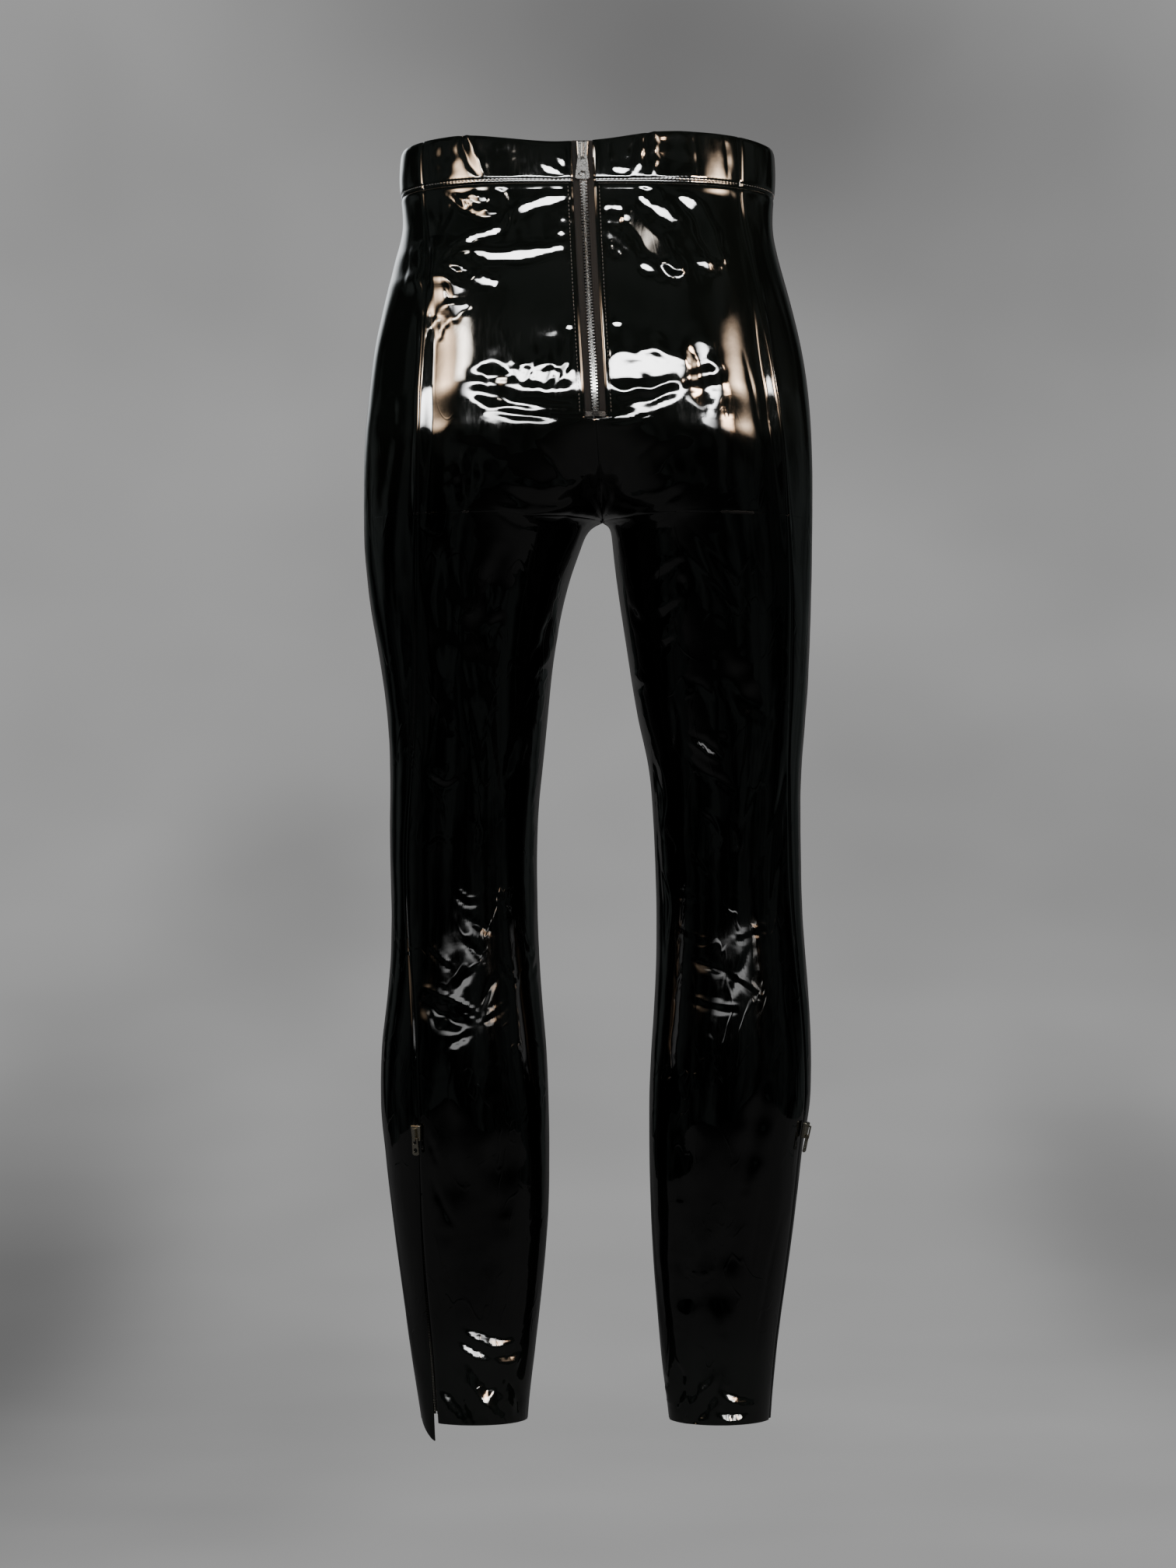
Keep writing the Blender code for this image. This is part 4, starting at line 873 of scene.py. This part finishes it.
def band_part(name, node, spans):
    """A part of the band over one or two stretches of section: (side, from, to) by height."""
    blocks, block_normals = [], []
    for side, ends, backwards in spans:
        distances = []
        low0, high0 = ends(side, 0.0)
        count = int((high0 - low0) / 1.0)
        for z in band_heights:
            low, high = ends(side, z)
            rim, across = EDGE_ROWS[:3], np.linspace(low + 1.1, high - 1.1, count)
            distances.append(np.concatenate([low + rim, across, high - rim[::-1]]))
        distances = np.array(distances)
        points, normals = surface(side, band_heights, distances)
        if backwards:
            points, normals = points[:, ::-1], normals[:, ::-1]
        if blocks:
            points, normals = points[:, 1:], normals[:, 1:]
        blocks.append(points)
        block_normals.append(normals)
    points, normals = np.concatenate(blocks, 1), np.concatenate(block_normals, 1)
    along = np.zeros(points.shape[:2])
    steps = np.hypot(np.diff(points[..., 0], axis=1), np.diff(points[..., 1], axis=1))
    along[:, 1:] = np.cumsum(steps, 1)
    from_end = np.minimum(along, along[:, -1:] - along)
    z = np.broadcast_to(band_heights[:, None], along.shape)
    share = 1 + z / BAND_HEIGHT
    rise = np.interp(points[..., 0], wave_x, wave_rise) * ease((-points[..., 1] + 20) / 50)
    puff = -0.9 * np.sin(np.clip(-z / BAND_HEIGHT, 0, 1) * math.pi) ** 0.8
    pull = np.exp(-((z + BAND_HEIGHT - STITCH_UP) / 1.1) ** 2)
    phase = 0.5 + 0.5 * np.cos(2 * math.pi * along / STITCH)
    depth = puff + pull * (0.30 + 0.35 * phase)
    depth += (near_edge(from_end, 0.9, 1.4) + near_edge(-z, 0.8, 1.6)
              + near_edge(z + BAND_HEIGHT, 0.9, 1.4))
    folded = pressed(points, normals, BAND_FOLDS, -1)
    leaning = tilt_of(points - normals * (depth + folded)[..., None], normals)
    folded += pressed(points, normals, BAND_FOLDS, -1, leaning)
    depth += folded * ease(from_end / 8) * ease((z + BAND_HEIGHT) / 8)
    depth += unevenness(points, 0.5, 0.2) * ease(from_end / 8)
    placed = points - normals * depth[..., None]
    placed[..., 2] += rise * share
    uv = np.stack([along, z], -1) * MM
    piece = leather_piece(name, placed, uv, BAND_WALL, patent, backing)
    face_out(piece, placed, normals)
    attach(piece, "garment")
    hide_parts(node)
    row = int(np.argmin(np.abs(band_heights + BAND_HEIGHT - STITCH_UP)))
    for at in np.arange(STITCH, along[row, -1] - STITCH, STITCH):
        centre = np.array([np.interp(at, along[row], placed[row, :, k]) for k in range(3)])
        ahead = np.array([np.interp(at + 0.8, along[row], placed[row, :, k]) for k in range(3)])
        outward = np.array([np.interp(at, along[row], normals[row, :, k]) for k in range(3)])
        stitch_places.append((centre, ahead - centre, outward))
    return piece


def back_span(side, z):
    return ZIP_OPENING, section(side, z)[3] - SEAM_GAP / 2


def front_span(side, z):
    _, _, distance, seam = section(side, z)
    return seam + SEAM_GAP / 2, distance[-1]


band_part("waistband_left", "waistband_back_left", [("left", back_span, False)])
band_part("waistband_right", "waistband_back_right", [("right", back_span, False)])
band_part("waistband_across_front", "waistband_front",
          [("left", front_span, False), ("right", front_span, True)])


def thread_material(name, dark, light, twist):
    """Bonded thread: a slight sheen and a fine twist."""
    material, tree, shader = new_material(name, Roughness=0.45, Sheen_Weight=0.3)
    where = tree.nodes.new("ShaderNodeTexCoord")
    strands = added(tree, "TexNoise", {"Scale": twist, "Vector": where.outputs["Object"]})
    coloured(tree, shader, strands.outputs["Fac"], dark, light)
    bumped(tree, shader, strands.outputs["Fac"], 0.00006)
    return material


def finished(name, bm, material):
    """The piece that a mesh in millimetres makes, in metres."""
    bmesh.ops.scale(bm, vec=(MM, MM, MM), verts=bm.verts)
    mesh = bpy.data.meshes.new(name)
    bm.to_mesh(mesh)
    bm.free()
    mesh.materials.append(material)
    piece = bpy.data.objects.new(name, mesh)
    bpy.context.scene.collection.objects.link(piece)
    return piece


def stitches(name, places, length, width, material):
    """A run of thread stitches, each a small rounded bar lying in the leather."""
    bm = bmesh.new()
    for centre, ahead, outward in places:
        ahead = Vector(ahead).normalized()
        outward = Vector(outward)
        outward = (outward - ahead * outward.dot(ahead)).normalized()
        across = ahead.cross(outward)
        turn = Matrix((ahead, across, outward)).transposed().to_4x4()
        size = Matrix.Diagonal((length / 2, width / 2, width / 2, 1))
        move = Matrix.Translation(Vector(centre) + outward * width * 0.28)
        bmesh.ops.create_icosphere(bm, subdivisions=1, radius=1, matrix=move @ turn @ size)
    piece = finished(name, bm, material)
    piece.data.shade_smooth()
    return piece


black_thread = thread_material("black_thread", (0.006, 0.006, 0.006), (0.02, 0.02, 0.02), 2600.0)
band_stitching = stitches("waistband_stitching", stitch_places, STITCH * 0.72, 0.62, black_thread)
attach(band_stitching, "garment")

# --- Back zip ---------------------------------------------------------------------------------
# An exposed metal zip down the centre back: two woven tapes sewn behind the leather's edges, rows
# of stamped metal teeth clamped on their corded edges, and a bar tack across the bottom.
TAPE_INNER = 3.1
TAPE_REACH = 11.0
TOOTH_PITCH = 2.3
CHAIN_TOP_Z = -18.6
CHAIN_END_Z = -205.0


def zip_frames(z_rows):
    """Middle of the zip at each height, with the direction outward."""
    points, normals = surface("right", z_rows, [np.array([0.0])] * len(z_rows))
    return points[:, 0], normals[:, 0]


tape_material, tree, shader = new_material("woven_zip_tape", Roughness=0.85,
                                           Specular_IOR_Level=0.12, Sheen_Weight=0.02)
where = tree.nodes.new("ShaderNodeUVMap").outputs["UV"]
turned = added(tree, "Mapping", {"Rotation": (0, 0, 0.7), "Vector": where})
twill = added(tree, "TexWave", {"Scale": 520.0, "Distortion": 0.5,
                                "Vector": turned.outputs["Vector"]})
picks = added(tree, "TexWave", {"Scale": 620.0, "Vector": where}, bands_direction="Y")
weave = added(tree, "Math", {0: twill.outputs["Fac"], 1: picks.outputs["Fac"]}, operation="ADD")
tone = added(tree, "MapRange", {"To Min": 0.0015, "To Max": 0.007, "From Max": 2.0,
                                "Value": weave.outputs["Value"]})
colour = added(tree, "CombineColor", {c: tone.outputs["Result"] for c in ("Red", "Green", "Blue")})
tree.links.new(colour.outputs["Color"], shader.inputs["Base Color"])
bumped(tree, shader, weave.outputs["Value"], 0.00012)
tape_heights = np.arange(-3.5, ZIP_END_Z + 0.6, -1.6)
for side, sign in (("left", -1), ("right", 1)):
    profile = [(TAPE_INNER - 0.35, 0.55), (TAPE_INNER - 0.2, 0.2), (TAPE_INNER + 0.15, 0.02),
               (TAPE_INNER + 0.5, 0.12), (TAPE_INNER + 0.9, 0.42), (4.6, 0.5), (5.3, 0.5), (6.0, 0.5),
               (6.7, 0.55), (7.2, 0.75), (7.7, 1.4), (8.4, 2.3), (9.4, 2.5), (TAPE_REACH, 2.5)]
    offsets = np.array([p[0] for p in profile])
    sunk = np.array([p[1] for p in profile])
    points, normals = surface(side, tape_heights, [offsets] * len(tape_heights))
    points = points - normals * sunk[None, :, None]
    uv = np.stack([np.broadcast_to(offsets, points.shape[:2]),
                   np.broadcast_to(tape_heights[:, None], points.shape[:2])], -1) * MM
    tape = leather_piece(f"zip_tape_{side}", points, uv, 0.55, tape_material, tape_material)
    face_out(tape, points, normals)
    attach(tape, "garment")
    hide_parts(f"back_zip_tape_{side}")


def metal(name, dark, light, roughness, wear_scale):
    """Cast or stamped zip metal: brushed a little, darker where it is not rubbed."""
    material, tree, shader = new_material(name, Metallic=1.0)
    where = tree.nodes.new("ShaderNodeTexCoord")
    worn = added(tree, "TexNoise", {"Scale": wear_scale, "Detail": 4.0,
                                    "Vector": where.outputs["Object"]})
    coloured(tree, shader, worn.outputs["Fac"], dark, light)
    rough = added(tree, "MapRange", {"To Min": roughness * 0.7, "To Max": roughness * 1.4,
                                     "Value": worn.outputs["Fac"]})
    tree.links.new(rough.outputs["Result"], shader.inputs["Roughness"])
    bumped(tree, shader, worn.outputs["Fac"], 0.00002)
    return material


dark_nickel = metal("dark_nickel", (0.10, 0.10, 0.10), (0.27, 0.27, 0.26), 0.26, 900.0)
tooth_nickel = metal("zip_teeth_nickel", (0.16, 0.16, 0.16), (0.46, 0.46, 0.45), 0.20, 1400.0)


def tooth(bm, matrix, reach, rise, thick):
    """One stamped tooth: jaws clamped over the cord, and a lower, narrower head that hooks in."""
    for x0, x1, high, wide in ((0.0, reach * 0.55, rise, thick),
                               (reach * 0.45, reach, rise * 0.72, thick * 0.78)):
        shape = (Matrix.Translation(((x0 + x1) / 2, 0, (high - rise) / 2))
                 @ Matrix.Diagonal((x1 - x0, wide, high, 1)))
        made = bmesh.ops.create_cube(bm, size=1, matrix=shape)
        edges = list({e for v in made["verts"] for e in v.link_edges})
        rounded = bmesh.ops.bevel(bm, geom=edges, offset=0.2, segments=1, profile=0.5,
                                  affect="EDGES", material=-1, clamp_overlap=True)
        verts = {v for f in rounded["faces"] for v in f.verts}
        verts |= {v for v in made["verts"] if v.is_valid}
        bmesh.ops.transform(bm, matrix=matrix, verts=list(verts))


def teeth_row(name, frames, material, reach, rise, thick):
    """All the teeth of a chain as one piece. frames: middle, direction in, outward, along."""
    bm = bmesh.new()
    for centre, into, outward, up in frames:
        turn = Matrix((into, up, outward)).transposed().to_4x4()
        tooth(bm, Matrix.Translation(centre) @ turn, reach, rise, thick)
    bmesh.ops.recalc_face_normals(bm, faces=bm.faces)
    piece = finished(name, bm, material)
    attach(piece, "garment")
    return piece


chain_heights = np.arange(CHAIN_TOP_Z, CHAIN_END_Z, -TOOTH_PITCH / 2)
middles, outwards = zip_frames(chain_heights)
frames = []
for k in range(len(chain_heights)):
    outward = Vector(outwards[k]).normalized()
    up = Vector(middles[max(k - 1, 0)] - middles[min(k + 1, len(middles) - 1)]).normalized()
    right = up.cross(outward) * -1
    if right.x < 0:
        right = -right
    into = right if k % 2 else -right
    start = Vector(middles[k]) - into * 2.65 + outward * 0.15
    frames.append((start, into, outward, outward.cross(into)))
zip_teeth = teeth_row("zip_teeth", frames, tooth_nickel, 3.9, 1.15, 1.3)
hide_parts("back_zip_chain")

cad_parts["back_zip_bottom_stop"].data.materials.clear()
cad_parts["back_zip_bottom_stop"].data.materials.append(dark_nickel)

# One row of stitches holds each folded leather edge down to its tape
edge_places = []
for line, outs in zip_edges.values():
    run = np.concatenate([[0], np.cumsum(np.linalg.norm(np.diff(line, axis=0), axis=1))])
    marks = np.arange(3.0, run[-1] - 1.0, 2.9)
    middles = np.stack([np.interp(marks, run, line[:, k]) for k in range(3)], -1)
    aheads = np.stack([np.interp(marks + 1, run, line[:, k]) for k in range(3)], -1) - middles
    facing_out = np.stack([np.interp(marks, run, outs[:, k]) for k in range(3)], -1)
    edge_places += [(m - o * 0.12, a, o) for m, a, o in zip(middles, aheads, facing_out)]
edge_stitching = stitches("zip_edge_stitching", edge_places, 2.2, 0.5, black_thread)
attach(edge_stitching, "garment")

# The bar tack is a dense block of thread across both tapes where the zip ends
tack_places = []
tack_middles, tack_outwards = zip_frames(np.linspace(ZIP_END_Z + 3.4, ZIP_END_Z + 0.6, 5))
for k, (middle, outward) in enumerate(zip(tack_middles, tack_outwards)):
    for across in np.arange(-6.4, 6.5, 1.6):
        offset = np.array([across + (0.8 if k % 2 else 0.0) - 0.4, 0.0, 0.0])
        tack_places.append((middle + offset - outward * 0.15, np.array([1.0, 0.0, 0.06]), outward))
grey_thread = thread_material("tape_thread", (0.02, 0.02, 0.02), (0.07, 0.07, 0.07), 2600.0)
bar_tack = stitches("zip_bar_tack", tack_places, 1.9, 0.6, grey_thread)
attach(bar_tack, "garment")

# --- Sliders and pulls ------------------------------------------------------------------------
# Each slider is a cast body with a bridge, and its flared pull hangs from a round bar in the
# bridge. The back one is dark nickel, and the two at the ankles are a paler metal.
pale_nickel = metal("pale_nickel", (0.50, 0.46, 0.36), (0.80, 0.76, 0.64), 0.22, 700.0)
for node, finish in (("back_zip_slider", dark_nickel), ("back_zip_pull", dark_nickel),
                     ("ankle_zip_slider_left", pale_nickel),
                     ("ankle_zip_slider_right", pale_nickel),
                     ("ankle_zip_pull_left", pale_nickel), ("ankle_zip_pull_right", pale_nickel)):
    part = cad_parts[node]
    part.data.materials.clear()
    part.data.materials.append(finish)

# --- Ankle zips -------------------------------------------------------------------------------
# Each side seam ends in a zip that is open to the hem: a tape behind each edge of the vent, with
# its own row of teeth standing just inside the leather's edge.
for side in ("left", "right"):
    heights_down = np.arange(VENT_TOP_Z + 4, HEM_Z + 5, -3.0)
    for edge, sign in (("back", -1), ("front", 1)):
        rows = []
        for z in heights_down:
            seam = section(side, z)[3]
            vent = float(vent_half(z))
            reach = (0.3 * vent + 0.2, 0.3 * vent + 0.6, vent + 1.5, vent + 4, vent + 8.5)
            rows.append(seam + sign * np.array(reach))
        points, normals = surface(side, heights_down, rows)
        points = points - normals * (LEATHER + np.array([0.5, 0.5, 0.7, 1.0, 1.4]))[None, :, None]
        uv = np.stack([np.array(rows),
                       np.broadcast_to(heights_down[:, None], points.shape[:2])], -1) * MM
        tape = leather_piece(f"ankle_tape_{edge}_{side}", points, uv, 0.5, tape_material,
                             tape_material)
        face_out(tape, points, normals)
        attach(tape, "garment")
        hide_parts(f"ankle_zip_tape_{edge}_{side}")
        tooth_heights = np.arange(VENT_TOP_Z - 3, HEM_Z + 5, -2.0)
        rows = []
        for z in tooth_heights:
            seam, vent = section(side, z)[3], float(vent_half(z))
            rows.append(seam + sign * np.array([0.3 * vent + 2.15, 0.3 * vent + 0.1]))
        roots, outs = surface(side, tooth_heights, rows)
        frames = []
        for (root, tip), (outward, _) in zip(roots, outs):
            into = Vector(tip - root).normalized()
            outward = Vector(outward)
            outward = (outward - into * outward.dot(into)).normalized()
            start = Vector(root) - outward * (LEATHER + 0.75)
            frames.append((start, into, outward, outward.cross(into)))
        teeth_row(f"ankle_teeth_{edge}_{side}", frames, pale_nickel,
                  2.05, 0.9, 1.1)

# --- Floor, backdrop, lights and camera -------------------------------------------------------
# A grey paper sweep whose grey is painted light, a soft glow of its own with painted shade clouds in
# it, a long light box at waist height behind the camera, and smaller warm boxes at the sides that the
# glossy hips pick up.
FLOOR_Z = -1.075
bm = bmesh.new()
PAPER_ROWS = 48
bmesh.ops.create_grid(bm, x_segments=2, y_segments=PAPER_ROWS, size=1, calc_uvs=False)
sweep = bpy.data.meshes.new("studio_sweep")
bm.to_mesh(sweep)
bm.free()
profile = []
for t in np.linspace(0, 1, PAPER_ROWS + 1):
    if t < 0.4:
        profile.append((-1.7 + t / 0.4 * 2.3, FLOOR_Z))
    elif t < 0.7:
        a = (t - 0.4) / 0.3 * math.pi / 2
        profile.append((0.6 + 2.6 * math.sin(a), FLOOR_Z + 1.7 * (1 - math.cos(a))))
    else:
        profile.append((3.2, FLOOR_Z + 1.7 + (t - 0.7) / 0.3 * 2.3))
profile = np.array(profile)
unrolled = np.concatenate([[0], np.cumsum(np.hypot(*np.diff(profile, axis=0).T))])
paper_rows = [round((vertex.co.y + 1) / 2 * PAPER_ROWS) for vertex in sweep.vertices]
for vertex, row in zip(sweep.vertices, paper_rows):
    vertex.co = (vertex.co.x * 1.5, *profile[row])
flat_paper = sweep.uv_layers.new(name="along_the_paper")
for corner in sweep.loops:
    row = paper_rows[corner.vertex_index]
    flat_paper.data[corner.index].uv = (sweep.vertices[corner.vertex_index].co.x, unrolled[row])
# The paper's base is near black: its grey is a painted glow from Emission, not light that falls on it
paper, tree, shader = new_material("grey_paper_painted_glow", Base_Color=(0.01, 0.01, 0.01, 1),
                                   Roughness=1.0, Specular_IOR_Level=0.0,
                                   Emission_Color=(1, 1, 1, 1))
where = tree.nodes.new("ShaderNodeTexCoord")
split = added(tree, "SeparateXYZ", {"Vector": where.outputs["Object"]})


def worked(operation, first, second):
    """A small sum on the shading values of the tree in hand."""
    return added(tree, "Math", {0: first, 1: second}, operation=operation).outputs["Value"]


# Painted shade: soft darker clouds in the paper's painted glow, placed in metres across and along the
# unrolled paper
along = tree.nodes.new("ShaderNodeUVMap").outputs["UV"]
PAPER_GLOW = 0.355
light = PAPER_GLOW
PAINTED_SHADE_CLOUDS = [
    # across, along, half width, half length, share of the light held back
    (-0.12, 5.88, 0.68, 0.68, 0.39), (0.25, 5.73, 0.56, 0.57, 0.41), (0.56, 5.54, 0.68, 0.71, 0.26),
    (0.93, 5.63, 0.56, 0.57, 0.15), (-0.68, 5.54, 0.49, 0.52, 0.15), (0.78, 4.98, 0.48, 0.61, 0.11),
    (-0.66, 2.84, 0.37, 1.44, 0.54), (-0.56, 2.10, 0.27, 1.37, 0.26), (-0.40, 4.11, 0.29, 0.55, 0.22),
    (0.44, 4.30, 0.38, 0.66, 0.17), (0.64, 3.13, 0.29, 0.90, 0.32), (-0.32, 2.31, 0.25, 1.24, 0.19),
    (0.81, 4.21, 0.33, 0.59, 0.15),
]
for across, up, wide, long, painted_shade_share in PAINTED_SHADE_CLOUDS:
    off = added(tree, "VectorMath", {0: along, 1: (across, up, 0)}, operation="SUBTRACT")
    scaled = added(tree, "VectorMath", {0: off.outputs["Vector"], 1: (wide, long, 1)},
                   operation="DIVIDE")
    away = added(tree, "VectorMath", {0: scaled.outputs["Vector"]}, operation="LENGTH")
    painted_shade_cloud = added(tree, "MapRange", {"To Min": 1.0 - painted_shade_share, "Value": away.outputs["Value"]},
                  interpolation_type="SMOOTHERSTEP")
    light = worked("MULTIPLY", light, painted_shade_cloud.outputs["Result"])
# A mild noise mottle in the same painted glow
mottle = added(tree, "TexNoise", {"Scale": 2.4, "Detail": 2.0, "Vector": along})
mild = worked("ADD", worked("MULTIPLY", mottle.outputs["Fac"], 0.3), 0.85)
light = worked("MULTIPLY", light, mild)
# Only a little of it reaches the leather, and less from the front edge of the floor
looking = tree.nodes.new("ShaderNodeLightPath").outputs["Is Camera Ray"]
share_out = added(tree, "MapRange", {"To Min": 0.16, "Value": looking})
front = added(tree, "MapRange", {"From Min": -1.65, "From Max": -0.55, "Value": split.outputs["Y"]},
              interpolation_type="SMOOTHSTEP")
reaching = worked("MAXIMUM", front.outputs["Result"], looking)
sent = worked("MULTIPLY", light, share_out.outputs["Result"])
tree.links.new(worked("MULTIPLY", sent, reaching), shader.inputs["Emission Strength"])
# From behind, the paper is left out
side_seen = tree.nodes.new("ShaderNodeNewGeometry")
tree.links.new(worked("SUBTRACT", 1.0, side_seen.outputs["Backfacing"]), shader.inputs["Alpha"])
sweep.materials.append(paper)
sweep.shade_smooth()
floor = bpy.data.objects.new("studio_sweep", sweep)
bpy.context.scene.collection.objects.link(floor)

LAMPS = [
    # name, place, aim, wide, high, watts, colour, softness of its edges, cone in degrees, and the
    # height in metres under which its flag keeps the light off the legs
    ("key_box", (-0.18, -3.4, 0.10), (0, 0, -0.12), 4.6, 0.80, 250, (1.0, 1.0, 1.0), 0.60, 120,
     -0.216),
    ("high_left", (-2.3, -2.8, 1.00), (0, 0, -0.08), 1.2, 0.9, 8, (1.0, 0.90, 0.78),
     0.9, 40, -0.262),
    ("warm_left", (-2.6, -1.8, 0.55), (0, 0, -0.04), 2.2, 1.7, 20, (1.0, 0.70, 0.46),
     1.2, 40, -0.250),
    ("fan_box", (2.45, -3.1, 0.10), (0, 0, -0.10), 0.8, 0.62, 24, (1.0, 0.97, 0.93),
     0.3, 110, -0.125),
    ("warm_corner", (2.25, -2.5, 0.24), (0, 0, -0.1), 1.0, 0.80, 30, (1.0, 0.64, 0.40), 0.6, 60,
     -0.215),
    ("front_fill", (-0.9, 2.4, 0.55), (0, 0, -0.45), 1.8, 1.6, 5, (0.92, 0.97, 1.0),
     1.0, 100, -2.0),
    ("warm_right", (2.7, -1.5, 0.55), (0, 0, -0.04), 1.8, 1.5, 15, (1.0, 0.72, 0.50),
     1.2, 40, -0.250),
]
LEATHER_Y = 0.1          # how far the leather stands out behind and in front, in metres
LEFT_ON_LEGS = 0.045     # share of the light that passes the flag
LEFT_ON_HEMS = 0.6       # share that reaches the hems under the flag
for name, place, aim, wide, high, watts, colour, soft, cone, foot in LAMPS:
    lamp = bpy.data.lights.new(name, "AREA")
    lamp.shape = "RECTANGLE"
    lamp.size, lamp.size_y = wide, high
    lamp.energy = watts
    lamp.color = colour
    lamp.spread = math.radians(cone)
    # The box fades toward its edges, as a softbox does
    lamp.use_nodes = True
    tree = lamp.node_tree
    box = tree.nodes.new("ShaderNodeNewGeometry")
    split = added(tree, "SeparateXYZ", {"Vector": box.outputs["Parametric"]})
    fades = []
    for axis in ("X", "Y"):
        centred = worked("SUBTRACT", split.outputs[axis], 0.5)
        away = added(tree, "Math", {0: centred}, operation="ABSOLUTE")
        fade = added(tree, "MapRange", {"From Min": 0.5, "From Max": 0.5 - 0.5 * min(soft, 0.999),
                                        "Value": away.outputs["Value"]},
                     interpolation_type="SMOOTHSTEP")
        fades.append(fade.outputs["Result"])
    # A flag under the box keeps most of its light off the legs, down to just above the hems: each
    # ray from the lamp is followed to the trousers and fades where it would land behind the flag
    ray = added(tree, "SeparateXYZ", {"Vector": box.outputs["Incoming"]})
    start = added(tree, "SeparateXYZ", {"Vector": box.outputs["Position"]})
    fall = worked("DIVIDE", ray.outputs["Z"], ray.outputs["Y"])
    gap = worked("SUBTRACT", -LEATHER_Y if place[1] < 0 else LEATHER_Y, start.outputs["Y"])
    landing = worked("ADD", start.outputs["Z"], worked("MULTIPLY", fall, gap))
    flag = added(tree, "MapRange", {"From Min": foot - 0.02, "From Max": foot + 0.02,
                                    "To Min": LEFT_ON_LEGS, "Value": landing},
                 interpolation_type="SMOOTHSTEP")
    under_flag = added(tree, "MapRange", {"From Min": -0.86, "From Max": -0.90,
                                          "To Max": LEFT_ON_HEMS, "Value": landing},
                       interpolation_type="SMOOTHSTEP")
    passed = worked("MAXIMUM", flag.outputs["Result"], under_flag.outputs["Result"])
    lit = worked("MULTIPLY", worked("MULTIPLY", *fades), passed)
    tree.links.new(lit, tree.nodes["Emission"].inputs["Strength"])
    holder = bpy.data.objects.new(name, lamp)
    holder.location = place
    holder.rotation_euler = (Vector(aim) - Vector(place)).to_track_quat("-Z", "Y").to_euler()
    bpy.context.scene.collection.objects.link(holder)

world = bpy.data.worlds.new("dim_room")
bpy.context.scene.world = world
world.use_nodes = True
tree = world.node_tree
room = tree.nodes["Background"]
looking = tree.nodes.new("ShaderNodeLightPath").outputs["Is Camera Ray"]
level = added(tree, "MapRange", {"To Min": 0.03, "To Max": 0.3, "Value": looking})
tree.links.new(level.outputs["Result"], room.inputs["Strength"])
# The leather sees a cloudy room, and a plain one shows behind the stage
around = tree.nodes.new("ShaderNodeTexCoord")
clouds = added(tree, "TexNoise", {"Scale": 2.6, "Detail": 3.0,
                                  "Vector": around.outputs["Generated"]})
shade = added(tree, "MapRange", {"From Min": 0.42, "From Max": 0.62, "To Min": 0.1, "To Max": 1.6,
                                 "Value": clouds.outputs["Fac"]})
plain = added(tree, "Mix", {"Factor": looking, "A": shade.outputs["Result"], "B": 1.0},
              data_type="FLOAT").outputs["Result"]
tinted = added(tree, "CombineColor", {"Red": worked("MULTIPLY", plain, 0.88),
                                      "Green": worked("MULTIPLY", plain, 1.0),
                                      "Blue": worked("MULTIPLY", plain, 0.97)})
tree.links.new(tinted.outputs["Color"], room.inputs["Color"])

camera_data = bpy.data.cameras.new("camera")
camera_data.sensor_width = 36
camera_data.lens = 36 * 3.0 / 1.1975
camera = bpy.data.objects.new("camera", camera_data)
camera.location = (0.0, -3.0, -0.48)
camera.rotation_euler = (math.pi / 2, 0, 0)
bpy.context.scene.collection.objects.link(camera)
bpy.context.scene.camera = camera
